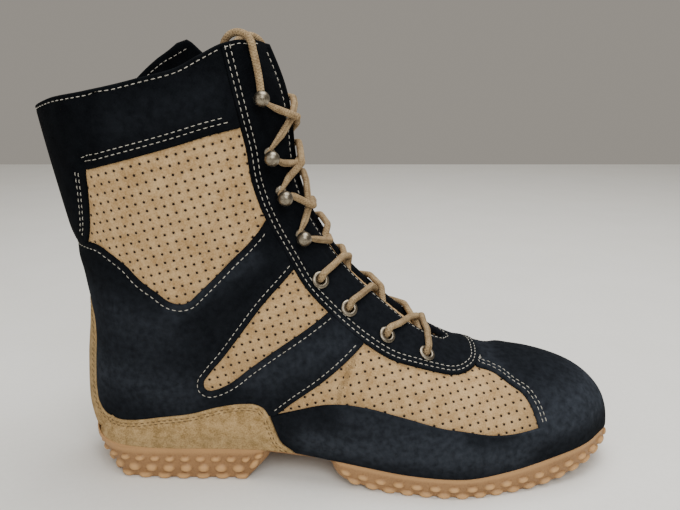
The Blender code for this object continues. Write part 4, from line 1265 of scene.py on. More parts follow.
@dataclass(frozen=True)
class Upper:
    """The perforated tan wall under the panels, its lining, and the leather folded over its open edges."""

    wall: float = 2.4
    windows: tuple[Window, ...] = (Window(60, 140, 15), Window(105, 80, 17), Window(190, 48, 18))
    # The fold's section: height over the wall, and how far past its edge
    fold_profile: tuple[tuple[float, float], ...] = (
        (1.85, -0.6), (2.0, -0.1), (1.85, 0.35), (1.4, 0.7), (0.7, 0.95), (-0.1, 1.0), (-1.1, 0.9),
        (-1.9, 0.6), (-2.4, 0.1), (-2.6, -1.0), (-2.6, -7.0), (-2.44, -7.0), (-2.3, -0.6))

    def build(self, last: Last, lines: Lines) -> None:
        """Makes the wall, outside perforated and inside lined, and the folds along collar and throat.

        Args:
            last: the last.
            lines: its edges and holes.
        """
        sheet = punch(last.sheet(every=2), lines.holes)
        count = len(sheet.data)
        points, faces = sheet.walls(np.zeros(count), np.full(count, -self.wall))
        inner = np.arange(len(faces)) >= len(sheet.triangles)
        pattern = np.tile(self.lattice(sheet), (2, 1))
        make_piece("upper_wall", points, faces, [Finishes.TAN, Finishes.LINING], ["upper"],
                   pattern, {"dust_and_light": dust_and_light_on(points)}, inner, sharp_degrees=60)
        folds = [self.fold(lines.rim), self.fold(Seam(lines.throat.points[::-1], lines.throat.normals[::-1]))]
        points = np.concatenate([part[0] for part in folds])
        faces = [*folds[0][1], *([n + len(folds[0][0]) for n in face] for face in folds[1][1])]
        make_piece("edge_folds", points, faces, [Finishes.NAVY],
                   attributes={"dust_and_light": dust_and_light_on(points)})

    def lattice(self, sheet: Sheet) -> Array:
        """The holes' lattice in millimetres over the leather, from the nearest window's middle.

        A point's offset from the middle is split along two directions square to the middle's normal. Each
        part is lengthened by angle over sine of the leather's turn that way, as round a cylinder.

        Args:
            sheet: the sheet.

        Returns:
            Two coordinates for each point.
        """
        flat = sheet.points[:, [0, 2]]
        pattern = np.zeros((len(flat), 2))
        reach = np.stack([np.linalg.norm(flat - (w.x, w.z), axis=1) for w in self.windows])
        for side in Side:
            for number, window in enumerate(self.windows):
                mine = (reach.argmin(axis=0) == number) & (sheet.data[:, SIDE_COLUMN] * side.value > 0)
                centre = np.flatnonzero(mine)[reach[number][mine].argmin()]
                normal = sheet.normals[centre]
                rise = math.radians(window.rise_degrees)
                right = unit(np.cross(np.cross(normal, (math.cos(rise), 0, math.sin(rise))), normal))
                axes = np.stack([right, np.cross(normal, right)])
                sine = np.clip(sheet.normals[mine] @ axes.T, -0.97, 0.97)
                level = np.abs(sine) < 1e-4
                stretch = np.where(level, 1.0, np.arcsin(sine) / np.where(level, 1.0, sine))
                pattern[mine] = (sheet.points[mine] - sheet.points[centre]) @ axes.T * stretch
        return pattern

    def fold(self, edge: Seam) -> tuple[Array, list]:
        """The fold's profile carried along an open edge, out from it and round to its inside.

        Args:
            edge: the edge, with the leather to its right seen from outside.

        Returns:
            Points and faces.
        """
        ahead = unit(np.gradient(edge.points, axis=0))
        normal = unit(edge.normals - (edge.normals * ahead).sum(axis=1, keepdims=True) * ahead)
        out = np.cross(ahead, normal)
        profile = np.array(self.fold_profile)
        points = edge.points[:, None] + profile[:, :1] * normal[:, None] + profile[:, 1:] * out[:, None]
        count = len(profile)
        numbers = np.arange(len(edge.points) * count).reshape(-1, count)
        walls = grid_quads(np.concatenate([numbers, numbers[:, :1]], axis=1))[:, ::-1].tolist()
        return points.reshape(-1, 3), [*walls, numbers[0].tolist(), numbers[-1][::-1].tolist()]


@dataclass(frozen=True)
class Tongue:
    """Wide tongue behind the throat: perforated tan, edged in navy, its medial wing a flap above the collar.

    It lies at a depth below the last, less deep at the top, and full in the middle of the throat.
    """

    outer: float = -6.3
    outer_top: float = -4.0
    outer_middle: float = -2.0
    top_rows: tuple[float, float] = (19.5, 21.5)
    full_places: tuple[float, float] = (0.34, 0.12)
    full_rows: tuple[float, float] = (6.3, 7.0)
    fade_rows: tuple[float, float] = (11.5, 9.5)
    thick: float = 2.2
    foot_row: float = 5.9
    # Place between the lateral edge (-1) and the medial edge (1), and the row of the top edge there
    top: tuple[tuple[float, float], ...] = (
        (-1.0, 21.2), (-0.7, 21.5), (-0.35, 21.8), (0.0, 21.9), (0.3, 21.9), (0.56, 21.9), (0.622, 22.8),
        (0.64, 22.96), (0.69, 22.95), (0.75, 22.72), (1.0, 21.57))
    # The stitch row along the flap's edges, by place and row
    stitched: tuple[tuple[float, float], ...] = ((0.65, 22.62), (0.75, 22.42), (0.97, 21.5))
    wing: float = 0.5
    flap: float = -1 / 3
    wing_row: float = 17.0
    flap_row: float = 21.0
    # Navy begins at a place and at a row; shares of the width and of the length over which the edge thins
    navy_place: float = 0.66
    navy_row: float = 20.6
    rim_across: float = 0.05
    rim_along: float = 0.012
    rim_least: float = 0.02
    stitch_lift: float = 0.05
    # Share of the dust colour, dust and painted light, that the tongue takes
    dust_and_light_share: float = 0.5

    def build(self, last: Last) -> list[Seam]:
        """Makes the tongue on a grid of rows and places, its edges rounded by a thinner rim.

        Args:
            last: the last.

        Returns:
            The flap's stitch rows.
        """
        stops = np.array(self.top)
        place = np.unique(np.concatenate([np.linspace(-1, 1, 97), stops[:, 0]]))
        share = np.linspace(0, 1, 221)
        top_row = np.interp(place, *stops.T)
        row = self.foot_row + share[:, None] * (top_row - self.foot_row)
        layer, normal = self.seat(last, row, place * np.ones_like(row))
        quads = grid_quads(np.arange(row.size).reshape(row.shape))
        sheet = Sheet(np.column_stack([layer.reshape(-1, 3), normal.reshape(-1, 3)]), halved(quads))
        from_side = np.minimum(1 - np.abs(place), self.rim_across) / self.rim_across
        from_top = np.minimum(1 - share, self.rim_along) / self.rim_along
        rim = np.clip(np.minimum(from_side, from_top[:, None]), self.rim_least, 1)
        half = self.thick / 2 * np.sqrt(1 - (1 - rim) ** 2).ravel()
        points, faces = sheet.walls(half, -half)
        across = np.cumsum(np.linalg.norm(np.diff(layer, axis=1, prepend=layer[:, :1]), axis=2), axis=1)
        along = np.cumsum(np.linalg.norm(np.diff(layer, axis=0, prepend=layer[:1]), axis=2), axis=0)
        middle = [np.abs(place).argmin()]
        pattern = np.stack([across - across[:, middle], along[:, middle] + 0 * along], axis=-1).reshape(-1, 2)
        navy = np.maximum(np.abs(place)[None, :] > self.navy_place, row > self.navy_row).ravel()
        face_navy = navy[faces[:, 0] % len(navy)].astype(int)
        make_piece("tongue_leather", points, faces, [Finishes.TAN, Finishes.NAVY], ["tongue"],
                   np.tile(pattern, (2, 1)), {"dust_and_light": dust_and_light_on(points) * self.dust_and_light_share}, face_navy,
                   sharp_degrees=60)
        count = len(self.stitched)
        fine = np.linspace(0, count - 1, 60)
        places, rows = (np.interp(fine, np.arange(count), column) for column in np.array(self.stitched).T)
        edge, up = self.seat(last, rows, places)
        lift = self.thick / 2 + self.stitch_lift
        return [Seam(edge - lift * up, -up), Seam(edge + lift * up, up)]

    def seat(self, last: Last, row: Array, place: Array) -> tuple[Array, Array]:
        """Points and normals of the tongue's middle layer at rows and places across it."""
        side = np.where(place < 0, -1.0, 1.0)
        spread = np.clip((row - self.wing_row) / (self.flap_row - self.wing_row), 0, 1) * (side > 0)
        wing = self.wing + (self.flap - self.wing) * spread
        lift = self.outer + (self.outer_top - self.outer) * smoothstep(*self.top_rows, row)
        full = smoothstep(*self.full_rows, row) * smoothstep(*self.fade_rows, row)
        full = smoothstep(*self.full_places, np.abs(place)) * full
        lift = np.maximum(lift, self.outer + (self.outer_middle - self.outer) * full) - self.thick / 2
        return last.seat(row, 1 - np.abs(place) * (1 - wing), side, lift, throat_open=False)


class LacePoint(NamedTuple):
    """A lacing point by its row and place across the last."""

    row: float
    across: float


EYELET_POINTS = (LacePoint(6.82, 0.76), LacePoint(7.76, 0.70), LacePoint(8.78, 0.67), LacePoint(9.85, 0.67))
STUD_POINTS = (
    LacePoint(11.27, 0.735), LacePoint(14.81, 0.725), LacePoint(17.95, 0.652), LacePoint(20.14, 0.662))
LACE_POINTS = (*EYELET_POINTS, *STUD_POINTS)


def turned(profile: Sequence[Sequence[float]], seats: Seam, steps: int, closed: bool) -> tuple[Array, list]:
    """A profile of radius and height, turned round the normal of each seat.

    Args:
        profile: stops from the inside bottom round to the top, or from pole to pole.
        seats: where the copies stand.
        steps: points of a turn.
        closed: whether the profile is a ring's section.

    Returns:
        Points and faces.
    """
    stops = np.array(profile, float)
    angle = 2 * math.pi * np.arange(steps) / steps
    first = unit(np.cross(seats.normals, SKEW[[0, 2, 1]]))
    second = np.cross(seats.normals, first)
    ring = np.cos(angle)[None, :, None] * first[:, None] + np.sin(angle)[None, :, None] * second[:, None]
    points = seats.points[:, None, None] + stops[:, 1, None, None] * seats.normals[:, None, None]
    points = points + stops[:, 0, None, None] * ring[:, None]
    number = np.arange(len(stops) * steps).reshape(len(stops), steps)
    number = np.concatenate([number, number[:, :1]], axis=1)
    if closed:
        number = np.concatenate([number, number[:1]])
    quads = grid_quads(number).tolist()
    if not closed:
        quads += [number[0, steps - 1 :: -1].tolist(), number[-1, :steps].tolist()]
    size = len(stops) * steps
    faces = [[n + k * size for n in face] for k in range(len(seats.points)) for face in quads]
    return points.reshape(-1, 3), faces


def on_both_sides(spots: Sequence[LacePoint]) -> tuple[Array, Array, Array]:
    """Rows, places across and sides of lacing points, lateral ones first."""
    rows, across = np.tile(np.array(spots), (2, 1)).T
    return rows, across, np.repeat([-1.0, 1.0], len(spots))


def seats_at(last: Last, spots: Sequence[LacePoint], lift: float) -> Seam:
    """Lacing points on both sides at a lift, lateral ones first."""
    return Seam(*last.seat(*on_both_sides(spots), np.full(2 * len(spots), lift)))


@dataclass(frozen=True)
class Eyelets:
    """Rolled eyelets set in punched holes through panel and wall."""

    punch: float = 3.1
    seat_lift: float = 2.1
    profile: tuple[tuple[float, float], ...] = (
        (2.3, -5.4), (3.9, -5.4), (4.1, -5.1), (3.9, -4.85), (3.02, -4.6), (3.02, -0.25), (4.2, -0.2),
        (4.58, 0.02), (4.6, 0.28), (4.35, 0.55), (3.8, 0.78), (3.2, 0.86), (2.7, 0.74), (2.4, 0.4),
        (2.3, -0.1))

    def build(self, last: Last) -> None:
        """Turns all eight eyelets."""
        points, faces = turned(self.profile, seats_at(last, EYELET_POINTS, self.seat_lift), 32, closed=True)
        nodes = [f"eyelet_{side.label}_{k}" for side in Side for k in range(1, 5)]
        make_piece("eyelets", points, faces, [Finishes.PLATE], nodes, sharp_degrees=50)


@dataclass(frozen=True)
class LaceStuds:
    """Ball studs: a riveted foot, a neck that the lace runs round, and a ball that leans off the throat."""

    seat_lift: float = 1.9
    ball: float = 3.8
    neck: float = 1.5
    neck_foot: float = 1.6
    neck_top: float = 4.6
    # Half angle of the small flat on top of the ball
    flat: float = 0.02
    lean_degrees: float = 26.0
    foot: tuple[tuple[float, float], ...] = (
        (0.02, -1.0), (2.7, -1.0), (2.8, 0.2), (2.6, 0.45), (2.1, 0.7), (1.65, 1.15))

    def build(self, last: Last) -> None:
        """Turns all eight studs: the foot, the straight neck, then the ball as an arc from neck to top."""
        lowest = math.asin(self.neck / self.ball)
        arc = np.linspace(lowest, math.pi - self.flat, 18)
        ball = np.stack([self.ball * np.sin(arc), self.middle - self.ball * np.cos(arc)], axis=1)
        profile = np.concatenate([self.foot, [(self.neck, self.neck_foot)], ball])
        points, faces = turned(profile, self.seats(last), 32, closed=False)
        nodes = [f"lace_stud_{side.label}_{k}" for side in Side for k in range(5, 9)]
        make_piece("lace_studs", points, faces, [Finishes.PLATE], nodes, sharp_degrees=50)

    @property
    def middle(self) -> float:
        """Height of the ball's middle over the foot."""
        return self.neck_top + math.sqrt(self.ball**2 - self.neck**2)

    def seats(self, last: Last) -> Seam:
        """Feet and axes, lateral ones first, turned about the balls so that the feet come to the throat."""
        upright = seats_at(last, STUD_POINTS, self.seat_lift)
        lean = math.radians(self.lean_degrees)
        inward = last.inward(*on_both_sides(STUD_POINTS), upright.normals)
        axes = math.cos(lean) * upright.normals - math.sin(lean) * inward
        return Seam(upright.points + self.middle * (upright.normals - axes), axes)


@dataclass(frozen=True)
class Lace:
    """One round lace: a bar over the front eyelets, down each one, to the other side, round the studs.

    Lifts are heights over the last. Places over the throat are counted off the closed form's ridge.
    """

    radius: float = 1.82
    sides: int = 12
    under: float = -4.4
    over: float = 4.0
    # The bar's drop over the ridge, and how far it rises again before its eyelets
    bar_drop: float = 1.5
    bar_rise: float = 0.1
    # Down an eyelet: distance from its axis to the throat, and lift
    through: tuple[tuple[float, float], ...] = ((3.4, 4.6), (0.9, 2.9), (0.0, -0.3), (0.3, -2.9), (2.6, -4.4))
    # From an eyelet to the throat: shares of the edge's place off the ridge, the lift at the second one, and
    # how far the lace lies before the eyelet's row
    under_shares: tuple[float, float] = (1.04, 0.66)
    under_lift: float = -1.9
    dip_row: float = 0.1
    # Over the throat: lift at the ridge from eyelets and from studs, half the height of a crossing, the share
    # of the edge's place where a strand lies on the leather, and its rise from there to a lacing point
    ridge_lift: float = 1.7
    ridge_lift_studs: float = 1.9
    cross: float = 1.6
    edge_share: float = 0.92
    rise: float = 0.2
    # By the studs the strands cross at the lateral edge: its place, and the share of their rows there
    lean: float = 0.21
    lean_shares: tuple[float, ...] = (0.15, 0.12, 0.25, 0.38)
    # Round a stud's neck, where the lace is drawn thin
    wrap: float = 2.1
    wrap_radius: float = 0.8
    wrap_lift: float = 5.5
    wrap_degrees: tuple[float, ...] = (-100, -55, 0, 55, 100)
    # Length over which corners are eased, and the fine step along the lace
    ease: float = 2.2
    step: float = 0.4
    # Points of an end's path, and where an end starts: its lift, and how far past the stud and to the throat
    path_points: int = 24
    end_lift: float = 5.0
    end_clear: float = 2.6
    end_inward: float = 3.0
    # Routes of the two ends from the top stud over the collar and down inside
    end_lateral: tuple[tuple[float, float, float], ...] = (
        (105.0, -27.4, 207.5), (103.8, -26.3, 214.6), (102.2, -25.5, 221.8), (101.1, -24.4, 226.2),
        (98.3, -22.7, 229.3), (94.4, -21.2, 230.4), (90.6, -19.9, 229.3), (87.9, -19.2, 226.3),
        (86.8, -18.8, 221.8), (86.2, -18.6, 214.0), (86.0, -18.5, 206.5))
    end_medial: tuple[tuple[float, float, float], ...] = (
        (105.4, 28.2, 207.5), (104.3, 26.8, 215.0), (102.6, 24.8, 223.0), (99.2, 21.4, 229.2),
        (94.0, 17.2, 230.8), (88.9, 13.4, 227.4), (86.4, 11.4, 220.0), (85.6, 10.6, 211.0))

    def build(self, last: Last) -> None:
        """Makes the laced run of both strands as one piece, and the two free ends as cords.

        Args:
            last: the last.
        """
        lateral, medial = (self.route(last, side) for side in Side)
        path = self.drawn_tight(np.concatenate([lateral[::-1], medial[1:]]))
        points, faces, pattern = tube(path[:, :3], path[:, 3], self.sides)
        nodes = [f"lace_cross_{k}" for k in range(1, 8)]
        make_piece("laced_run", points, faces, [Finishes.LACE], nodes, pattern)
        for side, route in ((Side.LATERAL, self.end_lateral), (Side.MEDIAL, self.end_medial)):
            fine = curve_through([self.end_start(last, side), *route], self.step)
            length = arc_lengths(fine)[-1]
            points, faces, pattern = tube(fine, self.radius, self.sides)
            cord = make_piece(f"lace_tail_{side.label}", points, faces, [Finishes.LACE],
                              [f"lace_end_{side.label}"], pattern)
            path = (resample(fine, np.linspace(0, length, self.path_points)) - CENTRE) * MM

    def drawn_tight(self, stops: Array) -> Array:
        """Straight runs between stops, with corners eased by a running mean."""
        length = arc_lengths(stops[:, :3])[-1]
        fine = resample(stops, np.linspace(0, length, int(length / self.step)))
        reach = int(self.ease / self.step)
        weight = np.hanning(2 * reach + 3)[1:-1]
        padded = np.pad(fine, ((reach, reach), (0, 0)), mode="edge")
        eased = [np.convolve(column, weight / weight.sum(), "valid") for column in padded.T]
        return np.stack(eased, axis=1)[::2]

    def end_start(self, last: Last, side: Side) -> Array:
        """Where a free end leaves the top stud: further along the leather and nearer to the throat."""
        (row, across), step = STUD_POINTS[-1], 0.01
        here = last.point(row, across, side.value)
        ahead = np.linalg.norm(last.point(row + step, across, side.value) - here)
        inward = np.linalg.norm(last.point(row, across + step, side.value) - here)
        row = row + self.end_clear * step / ahead
        across = last.closed_across(row, across + self.end_inward * step / inward, side.value)
        return last.seat(row, across, side.value, self.end_lift, throat_open=False)[0]

    def route(self, last: Last, first: Side) -> Array:
        """Stops of one strand from the middle of the bar at the throat's front to the top stud.

        Args:
            last: the last.
            first: the side of its first eyelet.

        Returns:
            The stops, each with the lace's radius there.
        """
        side, front = first.value, LACE_POINTS[0]
        edge, swing = self.reach(last, front, side)
        plan = ((0.0, self.over - self.bar_drop), (edge, self.over),
                ((edge + swing) / 2, self.over + self.bar_rise))
        stops = [self.swung(last, front.row, side * place, lift) for place, lift in plan]
        for k, spot in enumerate(LACE_POINTS):
            stops_at = self.round_stud if spot in STUD_POINTS else self.down_eyelet
            stops += stops_at(last, spot, side)
            if k + 1 < len(LACE_POINTS):
                stops += self.crossing(last, k, side)
            side = -side
        return np.array([*stops, self.sized(self.end_start(last, Side(-side)))])

    def sized(self, point: Array, radius: float | None = None) -> Array:
        """A stop: the point and the lace's radius there, full unless given."""
        return np.append(point, self.radius if radius is None else radius)

    def reach(self, last: Last, spot: LacePoint, side: int) -> tuple[float, float]:
        """How far the throat's edge and a lacing point lie off the ridge, counted over the closed form."""
        edge, swing = (1 - last.closed_across(spot.row, across, side) for across in (1.0, spot.across))
        return edge, swing

    def down_eyelet(self, last: Last, spot: LacePoint, side: int) -> list[Array]:
        """Stops over an eyelet's flange from the throat's side, down its hole and beneath the leather."""
        centre, normal = last.seat(*spot, side, 0.0)
        inward = last.inward(*spot, side, normal)
        return [self.sized(centre + reach * inward + lift * normal) for reach, lift in self.through]

    def crossing(self, last: Last, k: int, side: int) -> list[Array]:
        """Stops of one strand over the throat, from a lacing point to the next one on the other side.

        From an eyelet it comes from beneath the throat's edge, and it ends over the leather. Between the
        stops' places off the ridge, the row runs on evenly.

        Args:
            last: the last.
            k: the lacing point's number, from 0.
            side: its side.

        Returns:
            The stops.
        """
        start, end = LACE_POINTS[k : k + 2]
        from_edge, from_swing = self.reach(last, start, side)
        to_edge, to_swing = self.reach(last, end, -side)
        above = 1 if (k % 2 == 0) == (side > 0) else -1
        beneath = k < len(EYELET_POINTS)
        first_row = start.row - self.dip_row * beneath
        begin = from_edge if beneath else from_swing
        if beneath:
            deep, rising = (from_edge * share for share in self.under_shares)
            plan = [(deep, self.under), (rising, self.under_lift),
                    (0.0, self.ridge_lift + above * self.cross)]
        else:
            plan = [((from_swing + from_edge) / 2, self.over + self.rise),
                    (from_edge * self.edge_share, self.over), (0.0, self.ridge_lift_studs)]
        plan += [(-to_edge * self.edge_share, self.over), (-(to_edge + to_swing) / 2, self.over + self.rise)]
        swings, shares = [begin, -to_swing], [0.0, 1.0]
        number = k + 1 - len(EYELET_POINTS)
        if number >= 0 and (side > 0 or not beneath):
            swings, shares = [begin, -side * self.lean, -to_swing], [0.0, self.lean_shares[number], 1.0]
        if not beneath:
            plan[2 + side] = (-side * self.lean, self.over + (1 + above) * self.cross)
        rows = np.interp([-swing for swing, _ in plan], np.negative(swings), shares)
        return [self.swung(last, first_row + row * (end.row - first_row), side * swing, lift)
                for row, (swing, lift) in zip(rows, plan)]

    def round_stud(self, last: Last, spot: LacePoint, side: int) -> list[Array]:
        """Stops on an arc round a stud's neck, from below it round its outer side to above it."""
        studs = LaceStuds()
        seats = studs.seats(last)
        number = STUD_POINTS.index(spot) + len(STUD_POINTS) * (side > 0)
        normal = seats.normals[number]
        centre = seats.points[number] + (self.wrap_lift - studs.seat_lift) * normal
        outward = last.inward(*spot, side, normal, step=-0.05)
        upward = unit(np.cross(normal, outward)) * side
        angle = np.radians(self.wrap_degrees)
        arc = centre + self.wrap * (np.cos(angle)[:, None] * outward + np.sin(angle)[:, None] * upward)
        return [self.sized(point, self.wrap_radius) for point in arc]

    def swung(self, last: Last, row: float, swing: float, lift: float) -> Array:
        """A stop over the closed form, swung off its ridge to one side or the other."""
        side = -1.0 if swing < 0 else 1.0
        return self.sized(last.seat(row, 1 - abs(swing), side, lift, throat_open=False)[0])


class StudRow(NamedTuple):
    """A row of oval studs on the sole's wall: its share of the height, one stud's size, pitch and extent."""

    share: float
    length: float
    height: float
    pitch: float
    from_x: float
    round_heel: bool


@dataclass(frozen=True)
class Sole:
    """Gum rubber sole: heel pad, waist and forefoot pad in one, studded walls and a lip up the leather."""

    fit: float = 0.3
    waist_grow: float = -1.2
    waist_height: float = 3.0
    pad_height: float = 8.0
    stud_rise: float = 1.7
    columns: int = 520
    # How much of the studs' painted-highlight tone the plain band above them has, and between which shares
    # that comes in
    band: float = 0.5
    band_span: tuple[float, float] = (0.76, 0.92)
    # Round the back of the heel the wall leans in below, from one place along the boot to another
    bevel: float = 8.5
    bevel_span: tuple[float, float] = (30.0, 9.0)
    # Height of the tread along the boot
    tread: tuple[tuple[float, float], ...] = (
        (6.8, 2.0), (8.4, 1.4), (10.8, 0.6), (15.0, -0.4), (22.3, -1.2), (31.0, -1.6), (92.5, -1.6),
        (102.2, 9.4), (104.0, 11.2), (105.0, 13.3), (120.0, 12.4), (136.5, 11.7), (138.4, 10.4), (139.2, 8.6),
        (141.5, 5.8), (145.4, 3.0), (150.6, 1.2), (158.0, -0.4), (166.0, -1.6), (236.0, -1.6), (248.0, -1.0),
        (260.0, 1.0), (274.0, 5.0), (286.0, 9.3), (293.0, 11.4), (295.4, 12.3))
    # How far the wall stands out from the feather line, by share of the sole's height
    wall: tuple[tuple[float, float], ...] = (
        (0.0, 0.7), (0.02, 1.25), (0.06, 1.6), (0.38, 2.5), (0.7, 2.3), (1.0, 1.9))
    # The lip above the wall: how far out, and what share of its rise
    lip: tuple[tuple[float, float], ...] = (
        (2.1, 0.3), (2.15, 0.65), (2.0, 0.9), (1.6, 1.0), (1.2, 0.9), (0.8, -0.5))
    # Rise of the lip along the boot: it climbs the counter round the back of the heel
    lip_rise: tuple[tuple[float, float], ...] = (
        (6.8, 6.0), (7.6, 5.4), (9.0, 4.4), (11.0, 3.6), (14.0, 2.8), (18.0, 2.0), (23.0, 1.4),
        (31.0, 0.8), (45.0, 0.5))
    # How far the wall flares there to lie outside the counter, and where along the boot
    flare: float = 0.7
    flare_span: tuple[float, float] = (45.0, 25.0)
    # How much further the lip flares at the very back for each millimetre of its rise
    flare_rise: float = 0.15
    flare_back: tuple[float, float] = (7.8, 6.9)
    # Grooves across the tread: pitch, depth, their walls by share of half a pitch, and their ends across
    groove_pitch: float = 9.0
    groove_depth: float = 1.6
    groove_edge: tuple[float, float] = (0.62, 0.78)
    groove_ends: tuple[tuple[float, float], ...] = ((0.08, 0.14), (0.86, 0.92))
    # The wall's share of height along which studs are spaced, and how full their ovals are
    spacing: float = 0.4
    oval: float = 2.2
    rows: tuple[StudRow, ...] = (
        StudRow(0.67, 5.3, 3.0, 8.1, 99.0, True), StudRow(0.37, 6.4, 4.6, 9.3, 97.0, True),
        StudRow(0.10, 7.6, 3.2, 10.4, 90.0, True), StudRow(0.53, 6.0, 3.0, 9.3, 146.0, False),
        StudRow(0.16, 7.2, 3.3, 9.3, 150.65, False))

    def loop(self, last: Last) -> Array:
        """The feather line as a closed loop: the lateral rows from the toe, then the medial rows back."""
        foot = SECTIONS[: last.heel_row + 1]
        lateral = np.stack([foot[:, 0], foot[:, 10] - foot[:, 4], foot[:, 1]], axis=1)
        medial = np.stack([foot[:, 0], foot[:, 10] + foot[:, 5], foot[:, 1]], axis=1)
        return np.concatenate([lateral, medial[-2:0:-1]])

    def beside(self, loop: Array, turn: Array, grow: Array) -> Array:
        """Points beside the feather line, grow outside it in plan, at places turn of the loop."""
        here = read_table(loop, turn, closed=True)
        ahead = unit((read_table(loop, turn + 1e-3, closed=True) - here)[..., :2])
        here[..., 0] -= grow * ahead[..., 1]
        here[..., 1] += grow * ahead[..., 0]
        return here

    def even_turns(self, loop: Array, heel: int) -> Array:
        """Places of the loop, evenly spaced down the lateral side and back up the medial side."""
        fine = np.linspace(0, 2 * heel, 6001)
        length = arc_lengths(read_table(loop, fine, closed=True))
        half = length[3000]
        lateral = np.linspace(0, half, self.columns + 1)
        medial = np.linspace(half, length[-1], self.columns + 1)[1:-1]
        return np.interp(np.concatenate([lateral, medial]), length, fine)

    def build(self, last: Last) -> None:
        """Makes the sole: rings of wall and lip, raised by the studs, a ribbed tread and a hidden top.

        Args:
            last: the last.
        """
        loop = self.loop(last)
        turn = self.even_turns(loop, last.heel_row)
        base = read_table(loop, turn, closed=True)
        tread = np.interp(base[:, 0], *np.array(self.tread).T)
        height = base[:, 2] - self.fit - tread
        pad = np.clip((height - self.waist_height) / (self.pad_height - self.waist_height), 0, 1)
        share = np.concatenate([np.linspace(0, 0.1, 5), np.linspace(0.1, 1, 31)[1:], np.ones(len(self.lip))])
        levels = len(share) - len(self.lip)
        lip_grow, lip_lift = np.array(self.lip).T
        grow = np.concatenate([np.interp(share[:levels], *np.array(self.wall).T), lip_grow])
        grow = self.waist_grow + pad * (grow[:, None] - self.waist_grow)
        grow = grow - self.bevel * smoothstep(*self.bevel_span, base[:, 0]) * (1 - share)[:, None]
        rise = pad * np.interp(base[:, 0], *np.array(self.lip_rise).T)
        lift = np.concatenate([np.zeros(levels), lip_lift])[:, None] * rise
        grow = grow + self.flare * smoothstep(*self.flare_span, base[:, 0]) * share[:, None] ** 2
        grow = grow + self.flare_rise * smoothstep(*self.flare_back, base[:, 0]) * lift
        rings = self.beside(loop, np.broadcast_to(turn, grow.shape), grow)
        rings[..., 2] = tread + share[:, None] * height + lift
        rings, raised = self.studded(rings, share, pad)
        points, faces = self.closed(rings, pad)
        # The paler tone on the studs is painted highlight, strongest at their tops; the band below the lip
        # takes some of it too
        raised = np.maximum(raised, self.band * smoothstep(*self.band_span, share)[:, None])
        highlight_and_band = np.concatenate([raised.ravel(), np.zeros(len(points) - raised.size)])
        make_piece("gum_sole", points, faces, [Finishes.GUM], ["outsole"],
                   attributes={"raised": highlight_and_band}, sharp_degrees=50)

    def studded(self, rings: Array, share: Array, pad: Array) -> tuple[Array, Array]:
        """The wall raised by rows of oval domes, all spaced along one ring.

        Round each stud's middle, a power of the distance along and up the wall is taken in shares of its half
        size, and the wall moves along its normal by the rise times the root of what these leave of 1.

        Args:
            rings: points of the wall, from the bottom.
            share: share of the height of each ring.
            pad: 1 on the pads, 0 at the waist.

        Returns:
            The raised points, and how far up its dome each lies.
        """
        wrapped = np.concatenate([rings[:, -1:], rings, rings[:, :1]], axis=1)
        ahead = unit(wrapped[:, 2:] - wrapped[:, :-2])
        normal = unit(np.cross(np.gradient(rings, axis=0), ahead))
        steps = np.linalg.norm(np.diff(rings, axis=0, prepend=rings[:1]), axis=2)
        up_wall = np.cumsum(steps, axis=0)
        raised = np.zeros(rings.shape[:2])
        count = rings.shape[1]
        ring = rings[np.abs(share - self.spacing).argmin()]
        length, x = arc_lengths(np.concatenate([ring, ring[:1]])), ring[:, 0]
        for row in self.rows:
            level = np.abs(share - row.share).argmin()
            lateral = np.abs(x[: count // 2] - row.from_x).argmin()
            medial = count // 2 + np.abs(x[count // 2 :] - row.from_x).argmin()
            start, end = (lateral, medial) if row.round_heel else (medial, lateral)
            extent = (length[end] - length[start]) % length[-1]
            pitch = extent / int(extent // row.pitch)
            place = (length[:-1] - length[start] + pitch / 2) % length[-1]
            beside = (place % pitch - pitch / 2) / (row.length / 2)
            above = (up_wall - up_wall[level]) / (row.height / 2)
            reach = np.abs(beside) ** self.oval + np.abs(above) ** self.oval
            dome = np.sqrt(np.clip(1 - reach, 0, 1)) * (place < extent + pitch) * (share < 1)[:, None]
            raised = np.maximum(raised, dome * pad)
        rings = rings + self.stud_rise * raised[..., None] * normal
        rings[..., 2] = np.maximum(rings[..., 2], CENTRE[2])
        return rings, raised

    def closed(self, rings: Array, pad: Array) -> tuple[Array, list]:
        """The wall closed by a ribbed tread below and a strip above.

        The tread is a grid between the two halves of the lowest ring, cut by grooves across it.

        Args:
            rings: points of the wall, from the bottom.
            pad: 1 on the pads, 0 at the waist.

        Returns:
            Points and faces.
        """
        levels, count = rings.shape[:2]
        half = count // 2
        number = np.arange(levels * count).reshape(levels, count)
        wall = grid_quads(np.concatenate([number, number[:, :1]], axis=1)[:, ::-1])
        lateral, medial = np.arange(1, half), count - np.arange(1, half)
        across = np.linspace(0, 1, 22)[1:-1]
        low = rings[0]
        tread = low[lateral][:, None] + across[:, None] * (low[medial] - low[lateral])[:, None]
        groove = smoothstep(*self.groove_edge, np.abs((tread[..., 0] / self.groove_pitch) % 1.0 - 0.5) * 2)
        begun, ended = (smoothstep(*span, across) for span in self.groove_ends)
        tread[..., 2] += self.groove_depth * groove * (begun * (1 - ended)) * pad[lateral][:, None]
        grid = levels * count + np.arange(tread[..., 0].size).reshape(tread.shape[:2])
        grid = np.concatenate([number[0, lateral][:, None], grid, number[0, medial][:, None]], axis=1)
        floor = grid_quads(grid[:, ::-1])
        tips = [(number[0, 0], grid[0]), (number[0, half], grid[-1][::-1])]
        fans = [np.stack([row[1:], row[:-1], np.full(len(row) - 1, tip)], axis=1) for tip, row in tips]
        strip = np.stack([number[-1, lateral], number[-1, medial]], axis=1)
        top = grid_quads(strip)
        caps = [[number[-1, 0], strip[0, 1], strip[0, 0]], [number[-1, half], strip[-1, 0], strip[-1, 1]]]
